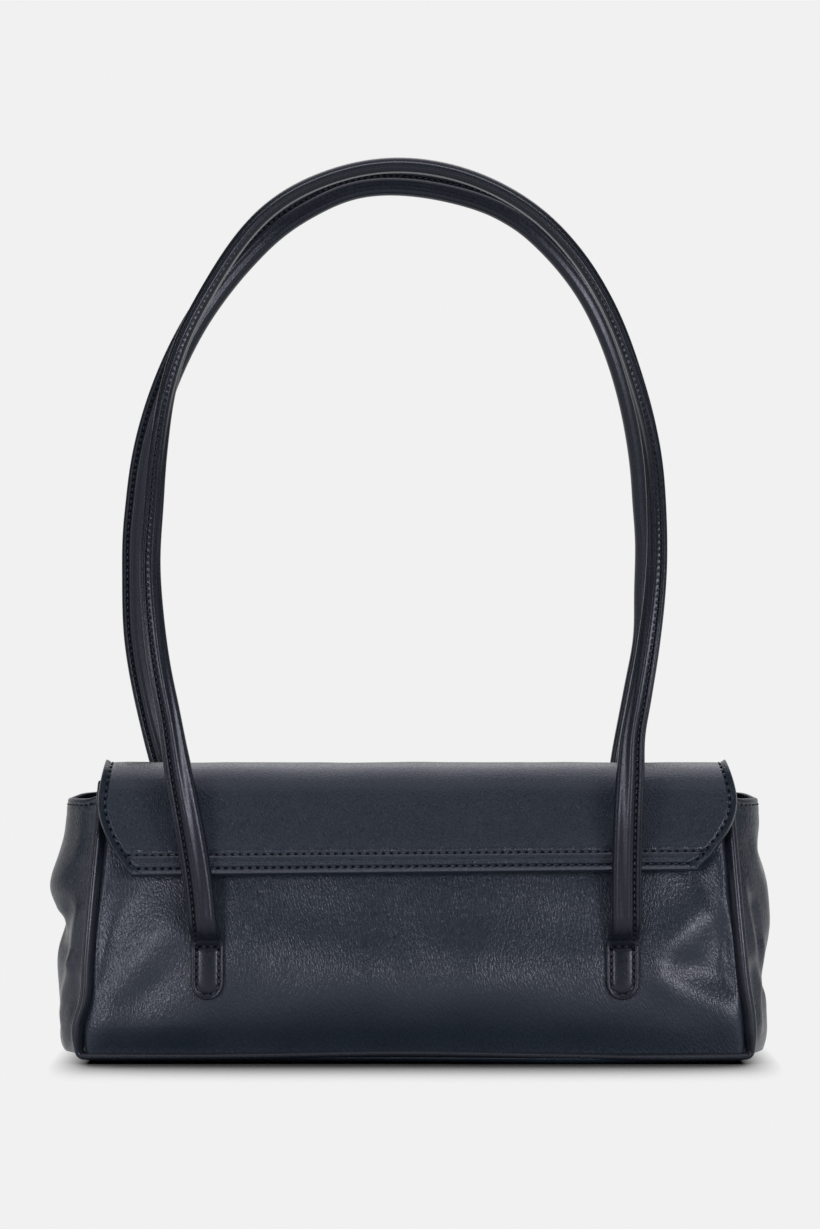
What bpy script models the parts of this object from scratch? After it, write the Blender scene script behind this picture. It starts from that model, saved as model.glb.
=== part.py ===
"""Shoulder bag: a soft faux-leather baguette bag with a flap and two standing rolled handles.

Metres, +Z up, the front faces -Y. The origin is on the ground, under the middle of the bag.
The flap turns about the rear top edge, and each handle swings about the top of its sewn tabs.
"""
import math

import bmesh
import bpy
import numpy as np
from mathutils import Matrix, Vector

# Layers and clearances
GAP = 0.0003
LEATHER = 0.0014
LINING = 0.0008
PATCH = 0.0005

# Body, as half sizes from the middle of the bag
BASE_HALF_WIDTH = 0.1445
MOUTH_HALF_WIDTH = 0.1345
BASE_HALF_DEPTH = 0.036
MOUTH_HALF_DEPTH = 0.026
BELLY = 0.0045
PANEL_CROWN = 0.0015
PANEL_TOP = 0.122
GUSSET_TOP = 0.118
GUSSET_DIP = 0.004
GUSSET_BULGE_FOOT = 0.005
GUSSET_BULGE_WIDEST = 0.018
GUSSET_BULGE_MOUTH = 0.014
BASE_RISE = 0.0022
BASE_EDGE = 0.010
PIPING_RADIUS = 0.0015
PIPING_HEIGHT = 0.003
FACING_HEIGHT = 0.020

# Base board
BOARD_THICKNESS = 0.002
BOARD_END_MARGIN = 0.004

# Flap
FLAP_TOP = 0.1305
FLAP_BOTTOM = 0.0825
FLAP_HALF_WIDTH = 0.1385
FLAP_BEND_RADIUS = 0.009
FLAP_LINING_MARGIN = 0.0015
FLAP_LINING_REAR_MARGIN = 0.002
FLAP_STIFFENER = 0.0008
FLAP_STIFFENER_MARGIN = 0.008
STRIP_DROP = 0.026

# Magnetic snap
SNAP_HEIGHT = 0.099
SOCKET_RADIUS = 0.008
SOCKET_THICKNESS = 0.0014
SOCKET_RECESS_RADIUS = 0.0052
SOCKET_FLOOR = 0.0005
STUD_RADIUS = 0.007
STUD_PLATE = 0.0006
STUD_POST_RADIUS = 0.002
STUD_POST_HEIGHT = 0.0007
SNAP_CLEARANCE = 0.0014
WASHER_RADIUS = 0.0075
WASHER_HOLE_RADIUS = 0.002
WASHER_THICKNESS = 0.0005

# Handles: a rolled tube with a stitched flange, pressed flat where it meets its tabs
TAB_HALF_SPAN = 0.0893
TAB_WIDTH = 0.0145
TAB_THICKNESS = 0.0032
TAB_BOTTOM = 0.028
TAB_TOP = 0.051
PATCH_MARGIN = 0.003
TUBE_RADIUS = 0.004
TUBE_WALL = 0.0012
FLANGE_REACH = 0.0032
FLANGE_THICKNESS = 0.0024
CORE_CLEARANCE = 0.0006
FLAT_HALF_WIDTH = 0.0069
FLAT_BORE_HALF_WIDTH = 0.004
FLAT_BORE_HALF_THICKNESS = 0.0005
FLATTEN_LENGTH = 0.030
ARCH_SPRING_HEIGHT = 0.250
STRAND_BEND_MARGIN = 0.015
STRAND_HALF_DEPTH = 0.0497
ARCH_TOP_HALF_DEPTH = 0.016
STRAND_UPRIGHT_HEIGHT = 0.150
FRONT_ARCH_HALF_SPAN = 0.1063
FRONT_ARCH_RISE = 0.136
FRONT_ARCH_LEAN = -0.0075
REAR_ARCH_HALF_SPAN = 0.1125
REAR_ARCH_RISE = 0.1325
REAR_ARCH_LEAN = -0.011
FRONT_LEFT_BOW = 0.0030
FRONT_LEFT_DROP = 0.0036
REAR_LEFT_BOW = 0.0085
REAR_LEFT_DROP = 0.0105
BOW_HEIGHT = 0.150
SHOULDER_HEIGHT = 0.340
FRONT_FADE_SHARES = (0.52, 0.85)
REAR_FADE_SHARES = (0.0, 0.55)

# Shares that shape the curves: how fast the depth tapers, how sharp the gusset's fold is and
# how far up it is widest, how fast the strand's points spread, and how far in the base bows
TAPER_POWER_SHARE = 1.5
FOLD_POWER_SHARE = 1.7
WIDEST_SHARE = 0.6
STRAND_SPREAD_SHARE = 1.15
BASE_BOW_SHARE = 8
STRIP_BODY_SHARE = 0.75

# Tables of shares, chosen by hand: (share of the way, share of the size)
FLAP_SIDE_SHARES = ((0.0, 0.974), (0.25, 0.997), (0.36, 1.0), (0.45, 0.995), (0.55, 0.980),
                    (0.70, 0.955), (0.80, 0.932), (0.90, 0.908), (1.0, 0.880))
TAB_WIDTH_SHARES = ((0.0, 0.50), (0.06, 0.74), (0.14, 0.89), (0.26, 0.98), (0.40, 1.0), (1.0, 1.0))

# The pressed flat end of a handle: shares of its half width and half thickness round the section
FLAT_OUTWARD_SHARES = (1, 0.93, 0.55, 0, -0.6, -1, -0.6, 0, 0.55, 0.93, 1)
FLAT_CROSSWISE_SHARES = (0.7, 1, 1, 1, 1, 0, -1, -1, -1, -1, -0.7)

# Mesh fineness, as numbers of steps
PANEL_STEPS = (10, 7)
GUSSET_STEPS = (8, 7)
BASE_STEPS = (8, 6)
FLAP_SIDE_STEPS = 10
TAB_STEPS = (4, 6)
STRAND_STEPS = 11
ARCH_STEPS = 22
TURNED_SIDES = 16
SMOOTH_ANGLE = math.radians(35)
HANDLE_SMOOTH_ANGLE = math.radians(50)
TUBE_FIRST_ANGLE = math.radians(52)

# Finishes: colour, roughness, metallic value
FAUX_LEATHER = ((0.026, 0.027, 0.036), 0.42, 0.0)
PIPING_LEATHER = ((0.022, 0.023, 0.031), 0.38, 0.0)
LINING_CLOTH = ((0.020, 0.020, 0.024), 0.80, 0.0)
STIFF_BOARD = ((0.30, 0.27, 0.22), 0.85, 0.0)
FOAM_STIFFENER = ((0.10, 0.10, 0.11), 0.90, 0.0)
HANDLE_CORE = ((0.55, 0.52, 0.45), 0.90, 0.0)
NICKEL = ((0.62, 0.61, 0.60), 0.28, 1.0)

# Places that follow from the sizes above
SEAM_CLEARANCE = PIPING_RADIUS + GAP
PANEL_FOOT = PIPING_HEIGHT + SEAM_CLEARANCE
GUSSET_FOOT = BASE_RISE + LEATHER + GAP
LINING_INSET = LEATHER + GAP + PATCH + GAP
BASE_BOARD_BOTTOM = LEATHER + GAP
BASE_LINING_BOTTOM = BASE_BOARD_BOTTOM + BOARD_THICKNESS + GAP
LINING_FOOT = BASE_LINING_BOTTOM + LINING + GAP
FACING_BOTTOM = PANEL_TOP - FACING_HEIGHT
FLAP_STACK = LEATHER + GAP + FLAP_STIFFENER + GAP + LINING
FLAP_CLEARANCE = SOCKET_THICKNESS + STUD_PLATE + SNAP_CLEARANCE + FLAP_STACK
FLAP_HINGE_Y = MOUTH_HALF_DEPTH + GAP + LEATHER
FLAP_REAR_Y = FLAP_HINGE_Y - LEATHER - GAP
BASE_FLAT_HALF_DEPTH = BASE_HALF_DEPTH - SEAM_CLEARANCE - BASE_EDGE


def smooth(share):
    """Ease from 0 to 1 with level ends, held at both ends."""
    held = np.clip(share, 0, 1)
    return held * held * (3 - 2 * held)


def table_value(share, table):
    """Straight-line value of a table of (share, value) pairs."""
    return np.interp(share, [row[0] for row in table], [row[1] for row in table])


def height_share(height):
    """Share of the panel's height at a height above the ground."""
    return np.clip((height - PANEL_FOOT) / (PANEL_TOP - PANEL_FOOT), 0, 1)


def half_width(height):
    """Half the width between the side seams: a straight taper."""
    return BASE_HALF_WIDTH + (MOUTH_HALF_WIDTH - BASE_HALF_WIDTH) * height_share(height)


def half_depth(height):
    """Half the depth at the side seams: it narrows upwards, with a belly low down."""
    share = height_share(height)
    taper = (MOUTH_HALF_DEPTH - BASE_HALF_DEPTH) * share ** TAPER_POWER_SHARE
    return BASE_HALF_DEPTH + taper + BELLY * np.sin(math.pi * share)


def panel_depth(across, height):
    """Half the depth at a share across the panel, with the panel's soft crown."""
    return half_depth(height) + PANEL_CROWN * (1 - across ** 2) * np.sin(math.pi * height_share(height))


def gusset_reach(across, height):
    """How far the side stands out: the gusset folds outwards in a soft V, widest above the middle."""
    share = height_share(height)
    bulge = GUSSET_BULGE_FOOT + (GUSSET_BULGE_WIDEST - GUSSET_BULGE_FOOT) * smooth(share / WIDEST_SHARE)
    ease = smooth((share - WIDEST_SHARE) / (1 - WIDEST_SHARE))
    bulge = bulge - (GUSSET_BULGE_WIDEST - GUSSET_BULGE_MOUTH) * ease
    return half_width(height) + bulge * (1 - np.abs(across) ** FOLD_POWER_SHARE)


def clear_scene():
    for thing in list(bpy.data.objects):
        bpy.data.objects.remove(thing, do_unlink=True)


def finish_material(name, finish):
    """A Principled material from a finish: colour, roughness and metallic value."""
    colour, roughness, metallic = finish
    made = bpy.data.materials.new(name)
    made.use_nodes = True
    shader = made.node_tree.nodes["Principled BSDF"]
    shader.inputs["Base Color"].default_value = (*colour, 1)
    shader.inputs["Roughness"].default_value = roughness
    shader.inputs["Metallic"].default_value = metallic
    made.diffuse_color = (*colour, 1)
    return made


def pivot_empty(name, place):
    """An empty on a joint's axis, which carries the pieces that turn about it."""
    empty = bpy.data.objects.new(name, None)
    empty.location = place
    bpy.context.scene.collection.objects.link(empty)
    return empty


def add_object(name, data, finish, pivot=None):
    """Link a mesh or curve as a named piece, with its own material, on its pivot."""
    made = bpy.data.objects.new(name, data)
    data.materials.append(finish_material(name, finish))
    bpy.context.scene.collection.objects.link(made)
    if pivot is not None:
        made.parent = pivot
        made.matrix_parent_inverse = Matrix.Translation(-Vector(pivot.location))
    return made


def grid_mesh(name, points, outward):
    """A mesh over a grid of points, with its faces towards the outward direction."""
    rows, columns = points.shape[:2]
    index = np.arange(rows * columns).reshape(rows, columns)
    quads = np.stack([index[:-1, :-1], index[:-1, 1:], index[1:, 1:], index[1:, :-1]], axis=-1)
    middle = points[rows // 2, columns // 2]
    side_a = points[rows // 2, columns // 2 - 1] - middle
    side_b = points[rows // 2 - 1, columns // 2] - middle
    if np.dot(np.cross(side_a, side_b), outward) < 0:
        quads = quads[..., ::-1]
    mesh = bpy.data.meshes.new(name)
    mesh.from_pydata(points.reshape(-1, 3).tolist(), [], quads.reshape(-1, 4).tolist())
    mesh.update()
    return mesh


def sheet(name, points, outward, thickness, finish, pivot=None):
    """A soft sheet: a grid of its outer points, thickened inwards."""
    made = add_object(name, grid_mesh(name, points, outward), finish, pivot)
    made.data.shade_smooth()
    made.data.set_sharp_from_angle(angle=SMOOTH_ANGLE)
    wall = made.modifiers.new("Thickness", 'SOLIDIFY')
    wall.thickness = thickness
    wall.offset = -1
    return made


def share_grid(across_steps, up_steps):
    """Shares from -1 to 1 across and from 0 to 1 up, as two grids."""
    return np.meshgrid(np.linspace(-1, 1, across_steps + 1), np.linspace(0, 1, up_steps + 1))


def broad_panel(name, side, inset, bottom, top, thickness, finish, steps=PANEL_STEPS):
    """A front (side -1) or rear (side 1) sheet between the side seams, at an inset."""
    across, up = share_grid(*steps)
    height = bottom + (top - bottom) * up
    x = across * (half_width(height) - SEAM_CLEARANCE)
    y = side * (panel_depth(across, height) - inset)
    return sheet(name, np.stack([x, y, height], axis=-1), (0, side, 0), thickness, finish)


def side_panel(name, side, inset, bottom, top, thickness, finish, steps=GUSSET_STEPS):
    """A left (side -1) or right (side 1) sheet between the front and rear seams."""
    across, up = share_grid(*steps)
    level = bottom + (top - bottom) * up
    dip = GUSSET_DIP * smooth(level / GUSSET_TOP) * (1 - across ** 2)
    height = level - dip * (level > GUSSET_TOP / 2)
    edge = SEAM_CLEARANCE + (inset + LINING + GAP if inset else 0)
    x = side * (gusset_reach(across, height) - inset)
    y = across * (half_depth(height) - edge)
    return sheet(name, np.stack([x, y, height], axis=-1), (side, 0, 0), thickness, finish)


def box_mesh(name, low, high):
    """A plain box between two corners."""
    mesh = bpy.data.meshes.new(name)
    shape = bmesh.new()
    bmesh.ops.create_cube(shape, size=1)
    low, high = Vector(low), Vector(high)
    bmesh.ops.transform(shape, verts=shape.verts,
                        matrix=Matrix.LocRotScale((low + high) / 2, None, high - low))
    shape.to_mesh(mesh)
    shape.free()
    return mesh


def base_pieces():
    """The base panel with its turned-up rim, the stiff board in it, and the lining over it."""
    half_x = BASE_HALF_WIDTH - SEAM_CLEARANCE
    half_y = BASE_HALF_DEPTH - SEAM_CLEARANCE
    steps_x, steps_y = BASE_STEPS
    rim_x = 1 - BASE_EDGE / half_x
    rim_y = 1 - BASE_EDGE / half_y
    shares_x = np.concatenate([[-1, -(1 + rim_x) / 2], np.linspace(-rim_x, rim_x, steps_x - 3),
                               [(1 + rim_x) / 2, 1]])
    shares_y = np.concatenate([[-1, -(1 + rim_y) / 2], np.linspace(-rim_y, rim_y, steps_y - 3),
                               [(1 + rim_y) / 2, 1]])
    across, along = np.meshgrid(shares_x, shares_y)
    bow = GUSSET_BULGE_FOOT + SEAM_CLEARANCE
    x = across * half_x + np.sign(across) * bow * np.abs(across) ** BASE_BOW_SHARE * (
        1 - np.abs(along) ** FOLD_POWER_SHARE)
    rise_x = np.clip((np.abs(across) - rim_x) / (1 - rim_x), 0, 1) ** 2
    rise_y = np.clip((np.abs(along) - rim_y) / (1 - rim_y), 0, 1) ** 2
    z = BASE_RISE * np.maximum(rise_x, rise_y)
    points = np.stack([x, along * half_y, z], axis=-1)
    sheet("base_panel", points, (0, 0, -1), LEATHER, FAUX_LEATHER)

    board_x = half_x - BASE_EDGE - BOARD_END_MARGIN
    add_object("base_board", box_mesh("base_board", (-board_x, -BASE_FLAT_HALF_DEPTH, BASE_BOARD_BOTTOM),
               (board_x, BASE_FLAT_HALF_DEPTH, BASE_BOARD_BOTTOM + BOARD_THICKNESS)), STIFF_BOARD)

    lining_x = half_width(0) - LINING_INSET - LINING
    lining_y = half_depth(0) - LINING_INSET - LINING
    add_object("base_lining", box_mesh("base_lining", (-lining_x, -lining_y, BASE_LINING_BOTTOM),
               (lining_x, lining_y, BASE_LINING_BOTTOM + LINING)), LINING_CLOTH)


def body_pieces():
    """Outer panels, linings and mouth facings of the four walls."""
    lining_top = FACING_BOTTOM - GAP
    strip_steps = (PANEL_STEPS[0], 2)
    side_strip_steps = (GUSSET_STEPS[0], 2)
    for word, side in (("front", -1), ("rear", 1)):
        broad_panel(f"{word}_panel", side, 0, PANEL_FOOT, PANEL_TOP, LEATHER, FAUX_LEATHER)
        broad_panel(f"{word}_lining", side, LINING_INSET, LINING_FOOT, lining_top, LINING, LINING_CLOTH)
        broad_panel(f"{word}_mouth_facing", side, LINING_INSET, FACING_BOTTOM, PANEL_TOP,
                    LINING, FAUX_LEATHER, strip_steps)
    for word, side in (("left", -1), ("right", 1)):
        side_panel(f"{word}_gusset", side, 0, GUSSET_FOOT, GUSSET_TOP, LEATHER, FAUX_LEATHER)
        side_panel(f"{word}_gusset_lining", side, LINING_INSET, LINING_FOOT, lining_top,
                   LINING, LINING_CLOTH)
        side_panel(f"{word}_mouth_facing", side, LINING_INSET, FACING_BOTTOM, GUSSET_TOP,
                   LINING, FAUX_LEATHER, side_strip_steps)


def piping(name, side):
    """A round piping down one side seam, along the base seam and up the other side seam."""
    heights = np.linspace(PANEL_TOP, PIPING_HEIGHT, PANEL_STEPS[1] + 1)
    widths = half_width(heights)
    depths = half_depth(heights)
    left = [(-w, side * d, z) for w, d, z in zip(widths, depths, heights)]
    right = [(w, side * d, z) for w, d, z in zip(widths, depths, heights)]
    route = left + right[::-1]
    curve = bpy.data.curves.new(name, 'CURVE')
    curve.dimensions = '3D'
    curve.bevel_depth = PIPING_RADIUS
    curve.bevel_resolution = 2
    curve.use_fill_caps = True
    spline = curve.splines.new('POLY')
    spline.points.add(len(route) - 1)
    for point, place in zip(spline.points, route):
        point.co = (*place, 1)
    return add_object(name, curve, PIPING_LEATHER)


def flap_profile():
    """The flap's outer line from its rear edge, over the top, round the bend and down the front.

    Returns the points as (y, z), the inward normals, and the share of the front drop at each.
    """
    top_y = -(half_depth(PANEL_TOP) + FLAP_CLEARANCE)
    bottom_y = -(panel_depth(0, FLAP_BOTTOM) + FLAP_CLEARANCE)
    drop = FLAP_TOP - FLAP_BOTTOM
    slant = math.atan2(top_y - bottom_y, drop - FLAP_BEND_RADIUS)
    centre = np.array([top_y + FLAP_BEND_RADIUS, FLAP_TOP - FLAP_BEND_RADIUS])
    angles = np.linspace(math.pi / 2, math.pi - slant, 5)
    arc = centre + FLAP_BEND_RADIUS * np.stack([-np.cos(angles), np.sin(angles)], axis=-1) * [-1, 1]
    over = np.linspace((FLAP_REAR_Y, FLAP_TOP), arc[0], 4)[:-1]
    down = np.linspace(arc[-1], (bottom_y, FLAP_BOTTOM), 6)[1:]
    line = np.concatenate([over, arc, down])
    along = np.gradient(line, axis=0)
    along /= np.linalg.norm(along, axis=1)[:, None]
    inward = np.stack([-along[:, 1], along[:, 0]], axis=-1)
    return line, inward, (FLAP_TOP - line[:, 1]) / drop


def flap_layer(name, inset, thickness, side_margin, rear_margin, finish, pivot):
    """One layer of the flap, at an inset under its outer surface and drawn in at its edges."""
    line, inward, drop_share = flap_profile()
    layer_line = line + inward * inset
    layer_line[0, 0] -= rear_margin
    if side_margin:
        back = layer_line[-2] - layer_line[-1]
        layer_line[-1] += back / np.linalg.norm(back) * side_margin
    widths = FLAP_HALF_WIDTH * table_value(drop_share, FLAP_SIDE_SHARES) - side_margin
    across = np.linspace(-1, 1, FLAP_SIDE_STEPS + 1)
    x = widths[:, None] * across[None, :]
    y = np.repeat(layer_line[:, :1], len(across), axis=1)
    z = np.repeat(layer_line[:, 1:], len(across), axis=1)
    return sheet(name, np.stack([x, y, z], axis=-1), (0, -1, 1), thickness, finish, pivot)


def snap_frame():
    """Origin on the front panel and outward direction of the magnetic snap."""
    step = GAP
    slope = (panel_depth(0, SNAP_HEIGHT + step) - panel_depth(0, SNAP_HEIGHT - step)) / (2 * step)
    outward = Vector((0, -1, -slope)).normalized()
    return Vector((0, -float(panel_depth(0, SNAP_HEIGHT)), SNAP_HEIGHT)), outward


def flap_snap_frame():
    """Origin on the flap's outer surface straight in front of the socket, and outward direction."""
    line, inward, _ = flap_profile()
    start, end = line[-6], line[-1]
    share = (start[1] - SNAP_HEIGHT) / (start[1] - end[1])
    place = start + (end - start) * share
    normal = -inward[-2]
    return Vector((0, place[0], place[1])), Vector((0, normal[0], normal[1])).normalized()


def turned(name, outline, origin, outward, finish, pivot=None):
    """A turned piece: (radius, height) outline spun round the outward direction from an origin."""
    shape = bmesh.new()
    rings = []
    angles = np.arange(TURNED_SIDES) * 2 * math.pi / TURNED_SIDES
    for radius, height in outline:
        if radius == 0:
            rings.append([shape.verts.new((0, 0, height))])
        else:
            rings.append([shape.verts.new((radius * math.cos(a), radius * math.sin(a), height))
                          for a in angles])
    closed = outline[0][0] != 0
    pairs = list(zip(rings, rings[1:] + rings[:1])) if closed else list(zip(rings, rings[1:]))
    for low, high in pairs:
        for i in range(TURNED_SIDES):
            j = (i + 1) % TURNED_SIDES
            if len(low) == 1:
                shape.faces.new((low[0], high[j], high[i]))
            elif len(high) == 1:
                shape.faces.new((low[i], low[j], high[0]))
            else:
                shape.faces.new((low[i], low[j], high[j], high[i]))
    bmesh.ops.recalc_face_normals(shape, faces=shape.faces)
    turn = Vector((0, 0, 1)).rotation_difference(outward).to_matrix().to_4x4()
    bmesh.ops.transform(shape, verts=shape.verts, matrix=Matrix.Translation(origin) @ turn)
    mesh = bpy.data.meshes.new(name)
    shape.to_mesh(mesh)
    shape.free()
    mesh.shade_smooth()
    mesh.set_sharp_from_angle(angle=SMOOTH_ANGLE)
    return add_object(name, mesh, finish, pivot)


def snap_pieces(pivot):
    """The magnetic snap: socket and washer on the front panel, stud and washer on the flap."""
    origin, outward = snap_frame()
    seat = origin + outward * GAP
    turned("snap_socket", ((0, 0), (SOCKET_RADIUS, 0), (SOCKET_RADIUS, SOCKET_THICKNESS),
                           (SOCKET_RECESS_RADIUS, SOCKET_THICKNESS), (SOCKET_RECESS_RADIUS, SOCKET_FLOOR),
                           (0, SOCKET_FLOOR)), seat, outward, NICKEL)
    washer = ((WASHER_HOLE_RADIUS, 0), (WASHER_RADIUS, 0), (WASHER_RADIUS, WASHER_THICKNESS),
              (WASHER_HOLE_RADIUS, WASHER_THICKNESS))
    inner = origin - outward * (LEATHER + GAP + WASHER_THICKNESS)
    turned("snap_socket_washer", washer, inner, outward, NICKEL)

    flap_origin, flap_outward = flap_snap_frame()
    under = flap_origin - flap_outward * (FLAP_STACK + GAP)
    turned("snap_stud", ((0, 0), (STUD_RADIUS, 0), (STUD_RADIUS, STUD_PLATE),
                         (STUD_POST_RADIUS, STUD_PLATE), (STUD_POST_RADIUS, STUD_PLATE + STUD_POST_HEIGHT),
                         (0, STUD_PLATE + STUD_POST_HEIGHT)), under, -flap_outward, NICKEL, pivot)
    buried = flap_origin - flap_outward * (LEATHER + GAP + WASHER_THICKNESS)
    turned("snap_stud_washer", washer, buried, flap_outward, NICKEL, pivot)
    return flap_origin, flap_outward


def cut_round_hole(target, origin, outward, radius):
    """Cut a round hole through a sheet with a cylinder along a direction."""
    name = target.name + "_hole_cutter"
    mesh = bpy.data.meshes.new(name)
    shape = bmesh.new()
    bmesh.ops.create_cone(shape, cap_ends=True, segments=TURNED_SIDES, radius1=radius, radius2=radius,
                          depth=2 * FLAP_STACK)
    turn = Vector((0, 0, 1)).rotation_difference(outward).to_matrix().to_4x4()
    bmesh.ops.transform(shape, verts=shape.verts, matrix=Matrix.Translation(origin) @ turn)
    shape.to_mesh(mesh)
    shape.free()
    cutter = bpy.data.objects.new(name, mesh)
    cutter.hide_render = True
    cutter.display_type = 'WIRE'
    bpy.context.scene.collection.objects.link(cutter)
    cut = target.modifiers.new("Hole", 'BOOLEAN')
    cut.operation = 'DIFFERENCE'
    cut.solver = 'EXACT'
    cut.object = cutter


def flap_pieces(pivot):
    """The flap's three layers with the snap in them, and the strip that holds it to the rear."""
    flap_layer("flap_outer", 0, LEATHER, 0, 0, FAUX_LEATHER, pivot)
    stiffener = flap_layer("flap_stiffener", LEATHER + GAP, FLAP_STIFFENER, FLAP_STIFFENER_MARGIN,
                           FLAP_LINING_REAR_MARGIN, FOAM_STIFFENER, pivot)
    lining_inset = LEATHER + GAP + FLAP_STIFFENER + GAP
    flap_layer("flap_lining", lining_inset, LINING, FLAP_LINING_MARGIN,
               FLAP_LINING_REAR_MARGIN, LINING_CLOTH, pivot)
    origin, outward = snap_pieces(pivot)
    cut_round_hole(stiffener, origin, outward, WASHER_RADIUS + GAP)

    across, up = share_grid(PANEL_STEPS[0], 4)
    bottom = PANEL_TOP - STRIP_DROP
    height = np.interp(up, (0, STRIP_BODY_SHARE, 1), (bottom, PANEL_TOP, FLAP_TOP))
    x = across * (half_width(height) - SEAM_CLEARANCE)
    y = panel_depth(across, height) + GAP + LEATHER
    strip = np.stack([x, y, height], axis=-1)
    sheet("flap_rear_strip", strip, (0, 1, 0), LEATHER, FAUX_LEATHER)


def tab_pieces(word, side):
    """The two sewn tabs of a handle, and the patches behind the panel that back them."""
    across, up = share_grid(*TAB_STEPS)
    height = TAB_BOTTOM + (TAB_TOP - TAB_BOTTOM) * up
    reach = TAB_WIDTH / 2 * table_value(up, TAB_WIDTH_SHARES)
    for hand, sign in (("left", -1), ("right", 1)):
        x = sign * TAB_HALF_SPAN + across * reach
        depth = panel_depth(x / half_width(height), height)
        y = side * (depth + GAP + TAB_THICKNESS)
        sheet(f"{word}_{hand}_handle_tab", np.stack([x, y, height], axis=-1), (0, side, 0),
              TAB_THICKNESS, FAUX_LEATHER)
        patch_x = sign * TAB_HALF_SPAN + across * (TAB_WIDTH / 2 + PATCH_MARGIN)
        patch_z = height + PATCH_MARGIN * (2 * up - 1)
        depth = panel_depth(patch_x / half_width(patch_z), patch_z)
        y = side * (depth - LEATHER - GAP)
        sheet(f"{word}_{hand}_backing_patch", np.stack([patch_x, y, patch_z], axis=-1), (0, side, 0),
              PATCH, FOAM_STIFFENER)


def tab_face(height):
    """Half depth of a tab's outer face at a height, in the middle of the tab."""
    return panel_depth(TAB_HALF_SPAN / half_width(height), height) + GAP + TAB_THICKNESS


def left_shift(x, z, half_span, bow, drop, fade):
    """Sideways shift of the soft left strand: bowed outwards low down, slack at the shoulder."""
    start = TAB_TOP + GAP
    low = smooth((z - start) / (BOW_HEIGHT - start))
    rise = smooth((z - BOW_HEIGHT) / (SHOULDER_HEIGHT - BOW_HEIGHT))
    share = smooth((-x / half_span - fade[0]) / (fade[1] - fade[0]))
    return (drop * rise - bow * low * (1 - rise)) * share


def handle_path(side, half_span, arch_rise, lean, bow, drop, fade):
    """Centre line of a handle from its left tab, over the arch, to its right tab.

    The strands ease outwards and then run into half an ellipse, with the left one shifted
    sideways. They stand off the flap, and lean in towards the other handle near the top.
    """
    start = TAB_TOP + GAP
    bend = ARCH_SPRING_HEIGHT - STRAND_BEND_MARGIN
    shares = np.linspace(0, 1, STRAND_STEPS + 1)[:-1] ** STRAND_SPREAD_SHARE
    rise = start + (ARCH_SPRING_HEIGHT - start) * shares
    spread = TAB_HALF_SPAN + (half_span - TAB_HALF_SPAN) * smooth((rise - start) / (bend - start))
    turn = np.linspace(math.pi, 0, ARCH_STEPS + 1)
    arch_x = half_span * np.cos(turn)
    arch_z = ARCH_SPRING_HEIGHT + arch_rise * np.sin(turn)
    x = np.concatenate([-spread, arch_x, spread[::-1]])
    z = np.concatenate([rise, arch_z, rise[::-1]])
    shift = left_shift(x, z, half_span, bow, drop, fade)
    x = x + shift + lean * smooth((z - start) / (bend - start))
    foot = tab_face(TAB_TOP) - TAB_THICKNESS / 2
    top = ARCH_SPRING_HEIGHT + arch_rise
    y = foot + (STRAND_HALF_DEPTH - foot) * smooth((z - start) / (FLAP_BOTTOM - start))
    lean_in = smooth((z - STRAND_UPRIGHT_HEIGHT) / (top - STRAND_UPRIGHT_HEIGHT))
    y = side * (y - (STRAND_HALF_DEPTH - ARCH_TOP_HALF_DEPTH) * lean_in)
    flat = 1 - smooth((z - start) / FLATTEN_LENGTH)
    return np.stack([x, y, z], axis=-1), flat


def path_frames(path):
    """Direction along the path, and the outward and crosswise directions of its sections."""
    along = np.gradient(path, axis=0)
    along[0] = along[-1] = (0, 0, 1)
    along[-1] *= -1
    along /= np.linalg.norm(along, axis=1)[:, None]
    crosswise = np.array([0, 1, 0]) - along * along[:, 1:2]
    crosswise /= np.linalg.norm(crosswise, axis=1)[:, None]
    return np.cross(along, crosswise), crosswise


def cover_section():
    """Outer section of the cover as (outward, crosswise) pairs, round and pressed flat."""
    root = math.asin(FLANGE_THICKNESS / 2 / TUBE_RADIUS)
    round_angles = np.linspace(TUBE_FIRST_ANGLE, 2 * math.pi - TUBE_FIRST_ANGLE, 7)
    angles = np.concatenate([[root], round_angles, [-root]])
    tube = TUBE_RADIUS * np.stack([np.cos(angles), np.sin(angles)], axis=-1)
    tip = TUBE_RADIUS + FLANGE_REACH
    edge = FLANGE_THICKNESS / 2
    round_section = np.concatenate([[(tip, edge)], tube, [(tip, -edge)]])
    flat_outward = np.array(FLAT_OUTWARD_SHARES) * FLAT_HALF_WIDTH
    flat_crosswise = np.array(FLAT_CROSSWISE_SHARES) * TAB_THICKNESS / 2
    return round_section, np.stack([flat_outward, flat_crosswise], axis=-1)


def bore_section(radius):
    """Section of the bore, round and pressed flat, with as many points as the outer section."""
    count = len(cover_section()[0])
    angles = (np.arange(count) + 0.5) * 2 * math.pi / count
    unit = np.stack([np.cos(angles), np.sin(angles)], axis=-1)
    return unit * radius, unit * (FLAT_BORE_HALF_WIDTH, FLAT_BORE_HALF_THICKNESS)


def swept_points(path, flat, sections):
    """Section points carried along a path, easing from the round to the flat section."""
    outward, crosswise = path_frames(path)
    round_section, flat_section = sections
    shape = round_section[None] * (1 - flat)[:, None, None] + flat_section[None] * flat[:, None, None]
    return (path[:, None] + outward[:, None] * shape[..., :1] + crosswise[:, None] * shape[..., 1:])


def tube_faces(shape, rings):
    """Side faces of a swept tube from its rings of vertices."""
    count = len(rings[0])
    for low, high in zip(rings, rings[1:]):
        for i in range(count):
            j = (i + 1) % count
            shape.faces.new((low[i], low[j], high[j], high[i]))


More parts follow.
